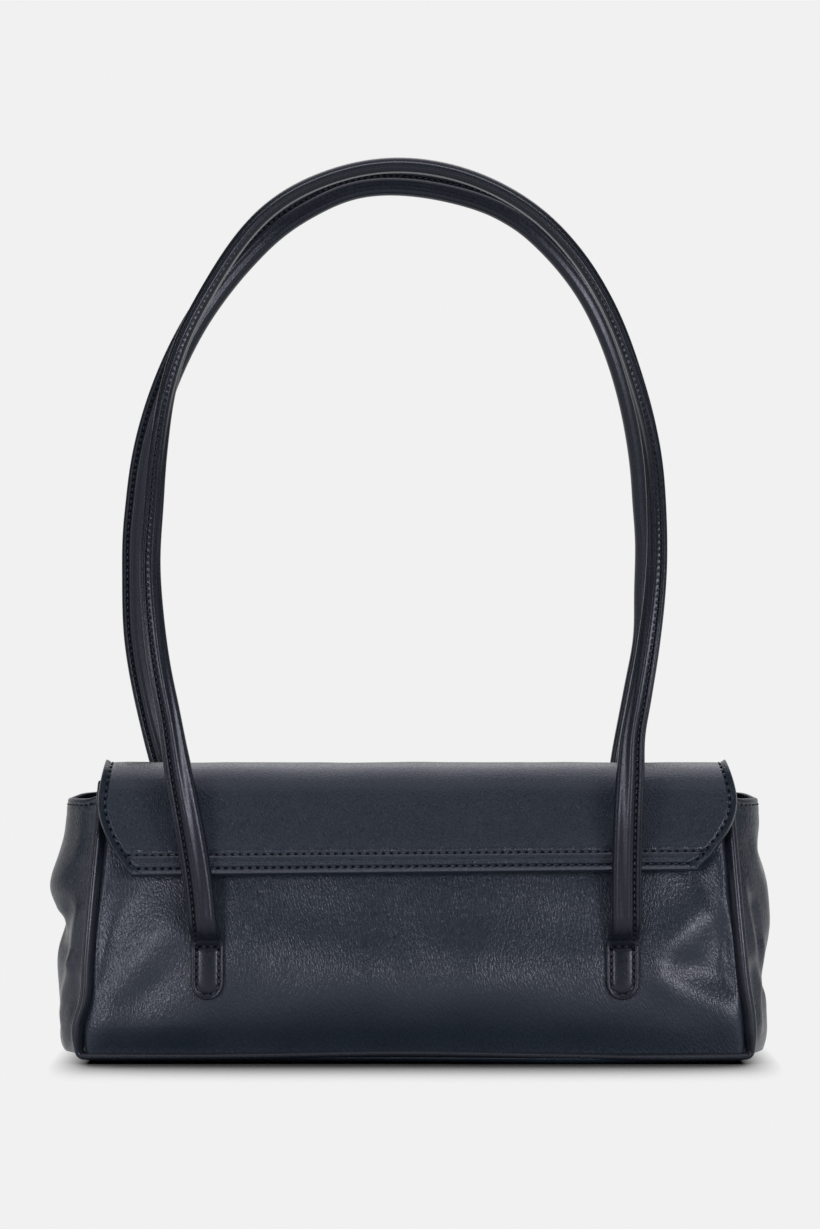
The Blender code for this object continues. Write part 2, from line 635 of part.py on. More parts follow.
def handle_pieces(word, side, arch, pivot):
    """A handle's folded cover, open at both flat ends, and the round cord that fills it."""
    path, flat = handle_path(side, *arch)
    shape = bmesh.new()
    outer = [[shape.verts.new(p) for p in ring] for ring in swept_points(path, flat, cover_section())]
    bore = swept_points(path, flat, bore_section(TUBE_RADIUS - TUBE_WALL))
    inner = [[shape.verts.new(p) for p in ring] for ring in bore]
    tube_faces(shape, outer)
    tube_faces(shape, inner)
    tube_faces(shape, [outer[0], inner[0]])
    tube_faces(shape, [outer[-1], inner[-1]])
    bmesh.ops.recalc_face_normals(shape, faces=shape.faces)
    mesh = bpy.data.meshes.new(f"{word}_handle_cover")
    shape.to_mesh(mesh)
    shape.free()
    mesh.shade_smooth()
    mesh.set_sharp_from_angle(angle=HANDLE_SMOOTH_ANGLE)
    add_object(f"{word}_handle_cover", mesh, FAUX_LEATHER, pivot)

    round_part = flat == 0
    core_radius = TUBE_RADIUS - TUBE_WALL - CORE_CLEARANCE
    core = swept_points(path, flat, bore_section(core_radius))[round_part]
    shape = bmesh.new()
    rings = [[shape.verts.new(p) for p in ring] for ring in core]
    tube_faces(shape, rings)
    shape.faces.new(rings[0])
    shape.faces.new(rings[-1])
    bmesh.ops.recalc_face_normals(shape, faces=shape.faces)
    mesh = bpy.data.meshes.new(f"{word}_handle_core")
    shape.to_mesh(mesh)
    shape.free()
    mesh.shade_smooth()
    add_object(f"{word}_handle_core", mesh, HANDLE_CORE, pivot)


def main():
    clear_scene()
    flap_pivot = pivot_empty("flap_hinge_pivot", (0, FLAP_HINGE_Y, FLAP_TOP))
    base_pieces()
    body_pieces()
    piping("front_piping", -1)
    piping("rear_piping", 1)
    flap_pieces(flap_pivot)
    front_arch = (FRONT_ARCH_HALF_SPAN, FRONT_ARCH_RISE, FRONT_ARCH_LEAN,
                  FRONT_LEFT_BOW, FRONT_LEFT_DROP, FRONT_FADE_SHARES)
    rear_arch = (REAR_ARCH_HALF_SPAN, REAR_ARCH_RISE, REAR_ARCH_LEAN,
                 REAR_LEFT_BOW, REAR_LEFT_DROP, REAR_FADE_SHARES)
    for word, side, arch in (("front", -1, front_arch), ("rear", 1, rear_arch)):
        place = (0, side * float(tab_face(TAB_TOP)), TAB_TOP + GAP / 2)
        pivot = pivot_empty(f"{word}_handle_pivot", place)
        tab_pieces(word, side)
        handle_pieces(word, side, arch, pivot)


main()
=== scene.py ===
"""Looks of a soft faux-leather shoulder bag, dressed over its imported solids.

Metres, +Z up, the front faces -Y. Every surface is worked out on a grid of two parameters.
"""
import math

import bpy
import numpy as np
from bpy.props import FloatProperty, FloatVectorProperty, PointerProperty
from bpy.types import NodeSocket, Operator, Panel, PropertyGroup
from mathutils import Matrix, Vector


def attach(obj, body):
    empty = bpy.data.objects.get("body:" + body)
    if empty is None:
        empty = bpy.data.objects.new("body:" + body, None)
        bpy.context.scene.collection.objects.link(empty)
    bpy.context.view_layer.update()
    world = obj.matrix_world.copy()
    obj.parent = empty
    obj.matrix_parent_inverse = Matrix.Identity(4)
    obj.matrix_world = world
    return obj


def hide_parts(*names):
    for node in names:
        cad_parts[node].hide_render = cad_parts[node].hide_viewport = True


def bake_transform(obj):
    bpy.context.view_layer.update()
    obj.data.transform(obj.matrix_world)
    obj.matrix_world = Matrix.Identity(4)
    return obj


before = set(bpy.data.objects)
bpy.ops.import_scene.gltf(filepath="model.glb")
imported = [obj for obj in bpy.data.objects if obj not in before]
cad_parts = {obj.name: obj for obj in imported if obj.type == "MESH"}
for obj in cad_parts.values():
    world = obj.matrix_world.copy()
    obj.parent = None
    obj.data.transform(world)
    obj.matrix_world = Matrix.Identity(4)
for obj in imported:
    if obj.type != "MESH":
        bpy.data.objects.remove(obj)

bl_info = {
    "name": "Soft Shoulder Bag",
    "version": (1, 0, 0),
    "blender": (4, 5, 0),
    "location": "3D View > Sidebar > Bag",
    "description": "Leather, stitches, lining, snap and studio of a flap-over shoulder bag",
    "category": "Object",
}

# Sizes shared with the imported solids
GAP = 0.0003
LEATHER = 0.0014
LINING = 0.0008
PATCH = 0.0005
BASE_HALF_WIDTH = 0.1445
MOUTH_HALF_WIDTH = 0.1345
BASE_HALF_DEPTH = 0.036
MOUTH_HALF_DEPTH = 0.026
BELLY = 0.0045
PANEL_CROWN = 0.0015
PANEL_TOP = 0.122
PANEL_FOOT = 0.0048
GUSSET_TOP = 0.118
GUSSET_FOOT = 0.0039
GUSSET_DIP = 0.004
BASE_RISE = 0.0022
BASE_EDGE = 0.010
BASE_LINING_BOTTOM = 0.004
PIPING_HEIGHT = 0.003
SEAM_CLEARANCE = 0.0018
LINING_INSET = 0.0025
LINING_FOOT = 0.0051
FACING_BOTTOM = 0.102
FLAP_BOTTOM = 0.0825
FLAP_CLEARANCE = 0.007
FLAP_HINGE_Y = 0.0277
FLAP_REAR_DROP = 0.0018
FLAP_STIFFENER = 0.0008
STRIP_BOTTOM = 0.096
SNAP_HEIGHT = 0.099
TAB_HALF_SPAN = 0.0893
TAB_BOTTOM = 0.028
TAB_TOP = 0.051
TAB_THICKNESS = 0.0032
TAB_HALF_WIDTH = 0.00725
PATCH_MARGIN = 0.003
ARCH_SPRING_HEIGHT = 0.250
STRAND_BEND_MARGIN = 0.015
STRAND_HALF_DEPTH = 0.0497
ARCH_TOP_HALF_DEPTH = 0.016
STRAND_UPRIGHT_HEIGHT = 0.150
BOW_HEIGHT = 0.150
SHOULDER_HEIGHT = 0.340
# Each handle's half span, rise, lean, left bow, left drop, and shares where the left shift fades in
HANDLE_ARCHES = {"front": (0.1063, 0.136, -0.0075, 0.0030, 0.0036, 0.52, 0.85),
                 "rear": (0.1125, 0.1325, -0.011, 0.0085, 0.0105, 0.0, 0.55)}
TAPER_POWER = 1.5
FOLD_POWER = 1.7
BASE_BOW = 8

# Sizes of the forms that are softer here than in the solids
FLAP_TOP = 0.1298
FLAP_SLANT_TOP = 0.1155
FLAP_BEND = 0.0175
FLAP_REAR_BEND = 0.0055
FLATTEN_LENGTH = 0.0085

SIDES = (("front", -1), ("rear", 1))
HANDS = (("left", -1), ("right", 1))

# Distances from an edge where a sheet has its finest rows, for its rounded rim
RIM_STEPS = (0, 0.0004, 0.001, 0.0018, 0.0028, 0.0042)

# Each soft fold: start x, start z, end x, end z, width, height (a dent is below zero)
FRONT_FOLDS = (
    (-0.130, 0.024, 0.130, 0.022, 0.014, 0.0012),
    (0.106, 0.045, 0.137, 0.072, 0.0090, 0.0024),
    (0.120, 0.086, 0.136, 0.052, 0.0080, -0.0021),
    (0.110, 0.037, 0.142, 0.021, 0.0085, 0.0019),
    (0.106, 0.044, 0.138, 0.036, 0.0060, -0.0012),
    (-0.136, 0.026, -0.108, 0.058, 0.0100, 0.0018),
    (-0.138, 0.056, -0.118, 0.080, 0.0080, -0.0012),
    (-0.140, 0.020, -0.114, 0.034, 0.0050, -0.0005),
    (-0.142, 0.013, -0.098, 0.014, 0.0100, 0.0014),
    (-0.078, 0.047, -0.026, 0.038, 0.0160, 0.0012),
    (-0.060, 0.066, -0.010, 0.060, 0.0120, -0.0008),
    (0.026, 0.041, 0.072, 0.038, 0.0160, 0.0012),
    (0.020, 0.062, 0.085, 0.060, 0.0120, -0.0008),
)
REAR_FOLDS = (
    (-0.125, 0.027, 0.125, 0.028, 0.017, 0.0016),
    (-0.138, 0.070, -0.110, 0.046, 0.0080, 0.0010),
    (-0.136, 0.048, -0.118, 0.080, 0.0060, -0.0010),
    (0.110, 0.052, 0.136, 0.030, 0.0085, 0.0009),
    (0.118, 0.078, 0.137, 0.056, 0.0070, -0.0008),
    (-0.060, 0.044, 0.050, 0.040, 0.0120, 0.0006),
)

# Curves as (height, size) pairs, read from the silhouette
SEAM_SHIFTS = {
    -1: ((0, -0.0012), (0.0056, 0.0004), (0.0168, 0.0018), (0.026, -0.0002), (0.045, 0),
         (0.122, 0)),
    1: ((0, -0.0006), (0.010, 0.0006), (0.020, 0.0010), (0.035, 0), (0.050, -0.0003), (0.122, 0)),
}
GUSSET_FOLDS = {
    -1: ((0, 0.0056), (0.0043, 0.0092), (0.0161, 0.0123), (0.0266, 0.0130), (0.0428, 0.0156),
         (0.0651, 0.0190), (0.0765, 0.0214), (0.0804, 0.0210), (0.0883, 0.0190), (0.0966, 0.0172),
         (0.108, 0.0167), (0.118, 0.0156)),
    1: ((0, 0.0060), (0.0099, 0.0098), (0.0218, 0.0108), (0.0401, 0.0126), (0.0546, 0.0146),
        (0.0642, 0.0156), (0.0699, 0.0158), (0.0760, 0.0157), (0.0844, 0.0147), (0.0927, 0.0137),
        (0.1036, 0.0148), (0.118, 0.0140)),
}
# Pinches of a gusset's fold: height, depth, reach above, reach below, reach across
GUSSET_PINCHES = {
    -1: ((0.0640, 0.0056, 0.0050, 0.0120, 0.42), (0.0200, 0.0012, 0.006, 0.006, 0.5)),
    1: ((0.0395, 0.0046, 0.0085, 0.0080, 0.42), (0.0930, 0.0010, 0.006, 0.008, 0.5)),
}
# Streaks of a gusset, as soft folds over y and z
GUSSET_STREAKS = {
    -1: ((-0.030, 0.064, -0.025, 0.042, 0.0040, 0.0014),
         (-0.025, 0.042, -0.016, 0.028, 0.0045, 0.0016),
         (-0.022, 0.066, -0.014, 0.048, 0.0040, -0.0010),
         (-0.030, 0.034, -0.026, 0.012, 0.0040, -0.0012),
         (-0.022, 0.108, -0.024, 0.090, 0.0060, 0.0008),
         (-0.012, 0.020, -0.016, 0.006, 0.0050, 0.0010)),
    1: ((-0.031, 0.074, -0.026, 0.048, 0.0035, 0.0012),
        (-0.024, 0.068, -0.018, 0.038, 0.0032, -0.0014),
        (-0.017, 0.048, -0.020, 0.018, 0.0042, 0.0014),
        (-0.028, 0.040, -0.027, 0.014, 0.0038, -0.0012),
        (-0.012, 0.092, -0.008, 0.060, 0.0060, 0.0008)),
}
FLAP_EDGES = {
    -1: ((0.0813, 0.1206), (0.0849, 0.1243), (0.0888, 0.1273), (0.0947, 0.1312), (0.1008, 0.1345),
         (0.1063, 0.1364), (0.1118, 0.1373), (0.1178, 0.1369), (0.1249, 0.1358), (0.1305, 0.1346)),
    1: ((0.0838, 0.1222), (0.0857, 0.1240), (0.0882, 0.1268), (0.0925, 0.1300), (0.0976, 0.1338),
        (0.1036, 0.1371), (0.1097, 0.1389), (0.1140, 0.1393), (0.1195, 0.1386), (0.1249, 0.1372),
        (0.1305, 0.1352)),
}
STRAND_SHIFTS = {
    "front": {-1: ((0.05, 0), (0.0813, 0), (0.130, 0.0008), (0.1505, 0.0014), (0.172, 0.0010),
                   (0.194, 0.0012), (0.2154, 0.0015), (0.237, 0.0025), (0.269, 0.0026),
                   (0.291, 0.0012), (0.310, 0.0002), (0.360, 0), (0.376, -0.0010), (0.3825, 0),
                   (0.400, 0)),
              1: ((0.05, 0), (0.0826, -0.0010), (0.130, -0.0018), (0.1402, -0.0018), (0.1574, 0),
                  (0.1797, 0.0022), (0.2154, 0.0041), (0.2374, 0.0038), (0.2662, 0.0022),
                  (0.300, 0.0006), (0.328, 0.0016), (0.349, 0.0026), (0.372, 0.0028),
                  (0.380, 0.0018), (0.389, 0), (0.400, 0))},
    "rear": {-1: ((0.05, 0), (0.138, -0.0002), (0.160, 0.0006), (0.183, 0.0013), (0.210, 0.0025),
                  (0.238, 0.0015), (0.272, 0.0005), (0.320, -0.0002), (0.352, 0), (0.367, -0.0014),
                  (0.376, 0), (0.400, 0)),
             1: ((0.05, 0), (0.1398, -0.0018), (0.161, 0), (0.183, 0.0020), (0.205, 0.0009),
                 (0.226, 0.0004), (0.2477, -0.0013), (0.280, -0.0027), (0.313, -0.0018),
                 (0.3345, 0), (0.356, 0.0020), (0.369, 0.0040), (0.3745, 0.0040), (0.3825, 0),
                 (0.400, 0))},
}
# Turn in degrees of the front handle's section about its line, and how far the line moves out
STRAND_TURNS = ((0.05, 0), (0.080, 8), (0.130, 26), (0.180, 42), (0.226, 55), (0.270, 66),
                (0.300, 80), (0.340, 88), (0.400, 92))
STRAND_OFFSETS = ((0.05, 0), (0.180, 0.0001), (0.226, 0.0009), (0.270, 0.0017), (0.300, 0.0021),
                  (0.340, 0.0023), (0.372, 0.0030), (0.386, 0.0035), (0.400, 0.0035))

# Half of a handle's section as (outward, sideways) pairs in millimetres, from the flange's edge to
# the tube's inner side: two stacked leather edges, the stitch groove, and a tube with a flat front
ROUND_HALF = np.array((
    (7.20, 0), (7.14, 0.45), (7.02, 0.78), (6.84, 0.98), (6.66, 0.92), (6.52, 0.66), (6.40, 0.74),
    (6.20, 1.08), (5.90, 1.28), (5.45, 1.22), (5.00, 0.92), (4.70, 0.74), (4.40, 0.98),
    (3.95, 1.75), (3.45, 2.50), (2.85, 3.00), (2.10, 3.15), (1.10, 3.02), (0.10, 3.12),
    (-0.90, 3.45), (-1.85, 3.42), (-2.75, 2.90), (-3.45, 2.00), (-3.88, 0.98), (-4.00, 0))) / 1000
FLAT_OUTWARD = np.array((
    7.25, 7.17, 7.05, 6.85, 6.60, 6.35, 6.10, 5.85, 5.60, 5.35, 5.10, 4.85, 4.50, 3.90, 2.60, 0.90,
    -0.90, -2.60, -3.90, -4.50, -4.85, -5.35, -6.00, -6.70, -7.25)) / 1000
STITCH_COLUMN = 11

# Stitch rows, as distances from the edge that each follows
TAB_ROW = 0.0024
SIDE_ROW = 0.0033
LOWER_ROW = 0.0034
UPPER_ROW = 0.0092
HEM_ROW = 0.0030
STRIP_ROW = 0.0040
HEM_HEIGHT = 0.0005
SNAP_RUN = 0.0172

# Distances from the flap's edges where its grid has its rows: rim, side row and band
FLAP_RIM = (0, 0.00012, 0.0003, 0.0005, 0.00065, 0.0008, 0.00105, 0.00145, 0.0019, 0.0023, 0.0026,
            0.0029, 0.00315, 0.0034, 0.00365, 0.0042, 0.0052, 0.0064, 0.0076, 0.0084, 0.0089,
            0.0093, 0.0097, 0.0103, 0.0113)

# Each softbox: name, place, height that it is aimed at, width, height, power
SOFTBOXES = (
    ("overhead", (0.0, 0.55, 1.60), 0.10, 1.80, 2.20, 32.0),
    ("front", (0.0, -1.10, 1.55), 0.10, 1.80, 0.90, 7.0),
    ("left", (-1.06, -2.12, 0.42), 0.10, 0.50, 0.80, 15.5),
    ("right", (1.22, -2.04, 0.42), 0.10, 0.60, 0.75, 23.0),
    ("left_low", (-0.86, -2.44, 0.10), 0.04, 0.40, 0.16, 2.2),
    ("right_low", (0.86, -2.44, 0.10), 0.04, 0.40, 0.16, 1.8),
    ("left_side", (-1.50, -0.22, 0.28), 0.10, 0.50, 0.60, 2.4),
    ("right_side", (1.50, -0.10, 0.30), 0.10, 0.50, 0.60, 1.3),
)


class BagSizes(PropertyGroup):
    """Sizes of the bag's trim and grain that a user may change."""
    stitch_pitch: FloatProperty(
        name="Flap stitch pitch", description="Distance between stitches on the flap and body",
        default=0.0034, min=0.001, unit='LENGTH')
    handle_pitch: FloatProperty(
        name="Handle stitch pitch", description="Distance between stitches along a handle",
        default=0.0028, min=0.001, unit='LENGTH')
    thread_radius: FloatProperty(
        name="Thread radius", description="Radius of the sewing thread",
        default=0.00032, min=0.0001, unit='LENGTH')
    groove_depth: FloatProperty(
        name="Stitch groove", description="Depth that a stitch row pulls the leather in",
        default=0.00032, min=0, unit='LENGTH')
    wave_height: FloatProperty(
        name="Softness", description="Height of the slow waves in the soft walls",
        default=0.00018, min=0, unit='LENGTH')
    fullness: FloatProperty(
        name="Fullness", description="How far the contents push the lower walls out",
        default=0.0040, min=0, unit='LENGTH')
    grain_height: FloatProperty(
        name="Grain height", description="Height of the pebbled grain",
        default=0.000080, min=0, unit='LENGTH')


class BagColours(PropertyGroup):
    """Colours of the bag and its studio."""
    leather: FloatVectorProperty(
        name="Leather", description="Faux leather of the walls and flap", subtype='COLOR', size=3,
        default=(0.0085, 0.0132, 0.0202), min=0, max=1)
    handle_leather: FloatVectorProperty(
        name="Handle leather", description="Faux leather of the handles and piping",
        subtype='COLOR', size=3, default=(0.0055, 0.0075, 0.0115), min=0, max=1)
    lining: FloatVectorProperty(
        name="Lining", description="Woven lining cloth", subtype='COLOR', size=3,
        default=(0.030, 0.030, 0.036), min=0, max=1)
    thread: FloatVectorProperty(
        name="Thread", description="Sewing thread", subtype='COLOR', size=3,
        default=(0.0025, 0.0025, 0.0035), min=0, max=1)
    metal: FloatVectorProperty(
        name="Snap metal", description="Nickel plating of the magnetic snap",
        subtype='COLOR', size=3, default=(0.26, 0.26, 0.27), min=0, max=1)
    ground: FloatVectorProperty(
        name="Ground", description="Floor and background", subtype='COLOR', size=3,
        default=(0.879, 0.879, 0.879), min=0, max=1)


def sizes():
    """The scene's sizes."""
    return bpy.context.scene.bag_sizes


def colours():
    """The scene's colours."""
    return bpy.context.scene.bag_colours


# Curves and forms


def smooth(share):
    """Ease from 0 to 1 with level ends: 3 s^2 - 2 s^3, held at both ends."""
    held = np.clip(share, 0, 1)
    return held * held * (3 - 2 * held)


def table_curve(at, table):
    """Smooth curve through (place, value) pairs: cubic pieces whose slopes agree at each pair."""
    places, values = np.array(table, float).T
    slopes = np.gradient(values, places)
    at = np.clip(at, places[0], places[-1])
    k = np.clip(np.searchsorted(places, at) - 1, 0, len(places) - 2)
    step = places[k + 1] - places[k]
    t = (at - places[k]) / step
    return ((2 * t ** 3 - 3 * t ** 2 + 1) * values[k] + (t ** 3 - 2 * t ** 2 + t) * step * slopes[k]
            + (3 * t ** 2 - 2 * t ** 3) * values[k + 1] + (t ** 3 - t ** 2) * step * slopes[k + 1])


def hand_curve(hand, at, tables):
    """Value of the left table where hand is below 0 and of the right table elsewhere."""
    return np.where(hand < 0, table_curve(at, tables[-1]), table_curve(at, tables[1]))


def height_share(height):
    """Share of the wall's height at a height above the ground."""
    return np.clip((height - PANEL_FOOT) / (PANEL_TOP - PANEL_FOOT), 0, 1)


def half_width(height):
    """Half the width between the side seams: a straight taper."""
    return BASE_HALF_WIDTH + (MOUTH_HALF_WIDTH - BASE_HALF_WIDTH) * height_share(height)


def half_depth(height):
    """Half the depth at the side seams: a taper to the power 1.5 plus a sine hump for the belly."""
    share = height_share(height)
    taper = (MOUTH_HALF_DEPTH - BASE_HALF_DEPTH) * share ** TAPER_POWER
    return BASE_HALF_DEPTH + taper + BELLY * np.sin(math.pi * share)


def panel_depth(across, height):
    """Half the depth at a share across a wall: the seam's plus a crown that is 0 at both seams."""
    rise = np.sin(math.pi * height_share(height))
    return half_depth(height) + PANEL_CROWN * (1 - across ** 2) * rise


def folds(x, z, table):
    """Soft folds: the height of each fades from its line as exp(-(distance / width)^2)."""
    lift = np.zeros(np.broadcast(x, z).shape)
    for x0, z0, x1, z1, width, height in table:
        run = ((x - x0) * (x1 - x0) + (z - z0) * (z1 - z0)) / ((x1 - x0) ** 2 + (z1 - z0) ** 2)
        run = np.clip(run, 0, 1)
        distance = np.hypot(x - x0 - run * (x1 - x0), z - z0 - run * (z1 - z0))
        lift = lift + height * np.exp(-(distance / width) ** 2)
    return lift


def waves(x, z, turn):
    """Slow unevenness of soft leather: three products of crossing sines, 30 to 90 mm long."""
    size = sizes().wave_height
    return size * (np.sin(72 * x + 41 * z + turn) * np.sin(88 * z - 31 * x + 1.9)
                   + 0.6 * np.sin(128 * x - 97 * z + 2.6 * turn) * np.sin(143 * z + 35 * x)
                   + 0.35 * np.sin(211 * x + 60 * z) * np.sin(190 * z - 88 * x + turn))


def rounded_rim(distance, radius):
    """Drop of a rounded rim: a quarter circle of the given radius, from the edge inwards."""
    short = np.clip(1 - distance / radius, 0, 1)
    return radius * (1 - np.sqrt(1 - short ** 2))


def groove(distance, width, depth):
    """A stitch row's groove: depth times exp(-(distance / width)^2)."""
    return -depth * np.exp(-(distance / width) ** 2)


def pillow(x, height):
    """Fullness of the contents: highest 16 mm from the middle, about half as high further out.

    To each side it falls off by a smooth step before the seam. Upwards it rises by a smooth step
    over the lowest 34 mm, and fades out below the flap.
    """
    across = smooth((0.137 - np.abs(x)) / 0.046) - 0.58 * smooth((np.abs(x) - 0.016) / 0.058)
    upwards = smooth((height - 0.002) / 0.034) * smooth((0.086 - height) / 0.048)
    return sizes().fullness * across * upwards


def wall_x(across, height):
    """Place across a broad wall, with the seam's small swings at the foot."""
    return across * (half_width(height) + hand_curve(across, height, SEAM_SHIFTS) - SEAM_CLEARANCE)


def wall_depth(side, across, height):
    """Half depth of a broad wall: the solid's form plus soft folds, waves and fullness.

    What is soft fades at the seams, at the top, and on the front round the snap.
    """
    x = across * half_width(height)
    soft = folds(x, height, FRONT_FOLDS if side < 0 else REAR_FOLDS) + waves(x, height, 0.7 - side)
    soft = soft + pillow(x, height)
    fade = smooth((1 - np.abs(across)) * BASE_HALF_WIDTH / 0.007)
    fade = fade * smooth((height - PANEL_FOOT) / 0.012) * smooth((PANEL_TOP - height) / 0.014)
    if side < 0:
        fade = fade * (1 - np.exp(-(x / 0.022) ** 2 - ((height - SNAP_HEIGHT) / 0.020) ** 2))
    return panel_depth(across, height) + soft * fade


def gusset_place(hand, across, level):
    """A point of a gusset's outer face: (reach, half depth, height).

    The reach is the seam's, plus the fold's size times 1 - |across|^1.7, less the pinches, which
    fade as exp(-(distance / reach)^2). The top edge dips by 1 - across^8, less behind the fold.
    """
    dip = GUSSET_DIP * smooth(2 * level / GUSSET_TOP - 1) * (1 - across ** 8)
    dip = dip * (1 - 0.45 * smooth((across - 0.05) / 0.55))
    height = level - dip
    reach = half_width(height) + table_curve(height, SEAM_SHIFTS[hand]) * across ** 2
    reach = reach + table_curve(height, GUSSET_FOLDS[hand]) * (1 - np.abs(across) ** FOLD_POWER)
    for middle, depth, above, below, wide in GUSSET_PINCHES[hand]:
        spread = np.where(height > middle, above, below) * (1 + 0.8 * np.abs(across))
        drift = middle - 0.030 * np.abs(across)
        pinch = np.exp(-((height - drift) / spread) ** 2) * np.exp(-(across / wide) ** 2)
        reach = reach - depth * pinch
    y = across * half_depth(height)
    soft = 0.8 * waves(y, height, 3.1 * hand) + folds(y, height, GUSSET_STREAKS[hand])
    return reach + soft * smooth((1 - np.abs(across)) / 0.2), half_depth(height), height


def unit(vectors):
    """Each vector divided by its length."""
    return vectors / np.linalg.norm(vectors, axis=-1, keepdims=True)


def distance_along(path):
    """Distance along a path at each of its points."""
    return np.concatenate([[0], np.cumsum(np.linalg.norm(np.diff(path, axis=0), axis=1))])


def read_along(at, distance, values):
    """Columns of values along a path, read at some distances by straight steps between them."""
    return np.stack([np.interp(at, distance, column) for column in values.T], axis=-1)


def arc(middle, radius, turn):
    """Points of a circle's arc in a plane, at some angles from its first axis."""
    return np.stack([middle[0] + radius * np.cos(turn), middle[1] + radius * np.sin(turn)], axis=-1)


def flap_profile():
    """The flap's outer line as (y, z) points, their outward normals, and the distance along it.

    It runs from the lower edge up a straight slant, round the front bend, back over the top,
    round the rear bend and down the rear wall to the edge of the sewn strip. The front bend is
    the arc that touches both the slant and the level of the top.
    """
    top_y = -(half_depth(PANEL_TOP) + FLAP_CLEARANCE)
    bottom_y = -(panel_depth(0, FLAP_BOTTOM) + FLAP_CLEARANCE)
    slant = math.atan2(top_y - bottom_y, FLAP_SLANT_TOP - FLAP_BOTTOM)
    middle_z = FLAP_TOP - FLAP_BEND
    middle_y = FLAP_BEND + (middle_z - FLAP_BOTTOM) * math.sin(slant)
    middle_y = bottom_y + middle_y / math.cos(slant)
    front = arc((middle_y, middle_z), FLAP_BEND, np.linspace(math.pi - slant, math.pi / 2, 25))
    rear = arc((FLAP_HINGE_Y - FLAP_REAR_BEND, FLAP_TOP - FLAP_REAR_DROP - FLAP_REAR_BEND),
               FLAP_REAR_BEND, np.linspace(math.pi / 2, 0, 17))
    heights = np.linspace(PANEL_TOP, STRIP_BOTTOM, 12)
    down = np.stack([panel_depth(0, heights) + GAP + LEATHER, heights], axis=-1)
    line = np.concatenate([np.linspace((bottom_y, FLAP_BOTTOM), front[0], 30)[:-1], front,
                           np.linspace(front[-1], rear[0], 30)[1:-1], rear, down])
    apart = np.linalg.norm(np.diff(line, axis=0), axis=1) > 1e-6
    line = line[np.concatenate([[True], apart])]
    along = unit(np.gradient(line, axis=0))
    return line, np.stack([-along[:, 1], along[:, 0]], axis=-1), distance_along(line)


def flap_half_width(hand, height, rear):
    """Half width of the flap: the side's outline in front, easing to the rear strip's width."""
    front = hand_curve(hand, height, FLAP_EDGES)
    strip = half_width(height) - SEAM_CLEARANCE
    return front + (strip - front) * rear


def flap_x(hand, edge, run):
    """Place across the flap at a distance from one side edge and along the profile.

    The step sideways is the distance divided by the cosine of the outline's slant.
    """
    line, _, distance = flap_profile()
    front_run = np.interp(FLAP_TOP - 0.001, line[:60, 1], distance[:60])
    z = np.interp(run, distance, line[:, 1])
    rear = smooth((run - front_run - 0.035) / (distance[-1] - front_run - 0.060))
    wide = flap_half_width(hand, z, rear)
    step = 0.0008
    slope = (flap_half_width(hand, np.minimum(z + step, FLAP_TOP), rear) - wide) / step
    slope = slope * (1 - smooth((run - front_run + 0.012) / 0.012))
    return hand * (wide - edge * np.sqrt(1 + np.clip(slope, -1.2, 1.2) ** 2))


def flap_tilt(x, run):
    """The lower edge hangs a little lower on the left: a tilt that fades 30 mm up the flap."""
    return (0.0104 * x - 0.00005) * (1 - smooth(run / 0.030))


def on_flap(x, run, lift):
    """Points of the flap, moved by a lift along its normals, and those normals.

    What the tilt takes below the profile's lower edge goes straight down.
    """
    line, normal, distance = flap_profile()
    hung = run + flap_tilt(x, run)
    place = read_along(np.maximum(hung, 0), distance, line)
    facing = read_along(run, distance, normal)
    points = np.stack([x, place[..., 0] + facing[..., 0] * lift,
                       place[..., 1] + np.minimum(hung, 0) + facing[..., 1] * lift], axis=-1)
    return points, np.concatenate([np.zeros_like(facing[..., :1]), facing], axis=-1)


def flap_waves(x, run, edge):
    """Slow waves of the flap, which fade at its edges, behind its top and round the snap."""
    soft = waves(x, run, 5.2) * smooth(edge / 0.012) * smooth((run - 0.011) / 0.014)
    soft = soft * (1 - np.exp(-(x / 0.022) ** 2 - ((run - SNAP_RUN) / 0.014) ** 2))
    return 0.9 * soft * (1 - smooth((run - 0.066) / 0.02))


def flap_lift(x, run, edge):
    """Relief of the flap: two stacked edges, stitch grooves, raised band, puckers, slow waves.

    Above the band the leather puckers by exp(-(distance / 2.2 mm)^2) times a sine across.
    """
    depth = sizes().groove_depth
    front = 1 - smooth((run - 0.075) / 0.010)
    inside = np.minimum(edge, run)
    places = np.array((0, 0.12, 0.30, 0.50, 0.65, 0.80, 1.05, 1.45, 1.9, 2.3, 2.6, 2.9)) / 1000
    heights = np.array((-1.0, -0.45, 0.42, 1.02, 1.18, 1.18, 1.05, 0.78, 0.46, 0.17, 0.02,
                        0)) / 1000
    lift = np.interp(inside, places, heights) * front - rounded_rim(inside, 0.0007) * (1 - front)
    lift = lift + groove(edge - SIDE_ROW, 0.0005, depth) * front
    across = smooth((edge - SIDE_ROW + 0.0004) / 0.001)
    lift = lift + groove(run - LOWER_ROW, 0.0005, depth) * across
    lift = lift + groove(run - UPPER_ROW, 0.0005, depth * 1.2) * across
    band = smooth((run - LOWER_ROW) / 0.0012) * smooth((UPPER_ROW - run) / 0.0012)
    lift = lift + 0.00045 * band * across
    pucker = np.exp(-((run - UPPER_ROW - 0.0016) / 0.0022) ** 2)
    pucker = pucker * np.sin(2 * math.pi * x / 0.0076 + 3 * np.sin(60 * x))
    bulge = np.exp(-((run - UPPER_ROW - 0.0022) / 0.0014) ** 2)
    lift = lift + (0.00018 * pucker + 0.00025 * bulge) * across
    return lift + flap_waves(x, run, edge)


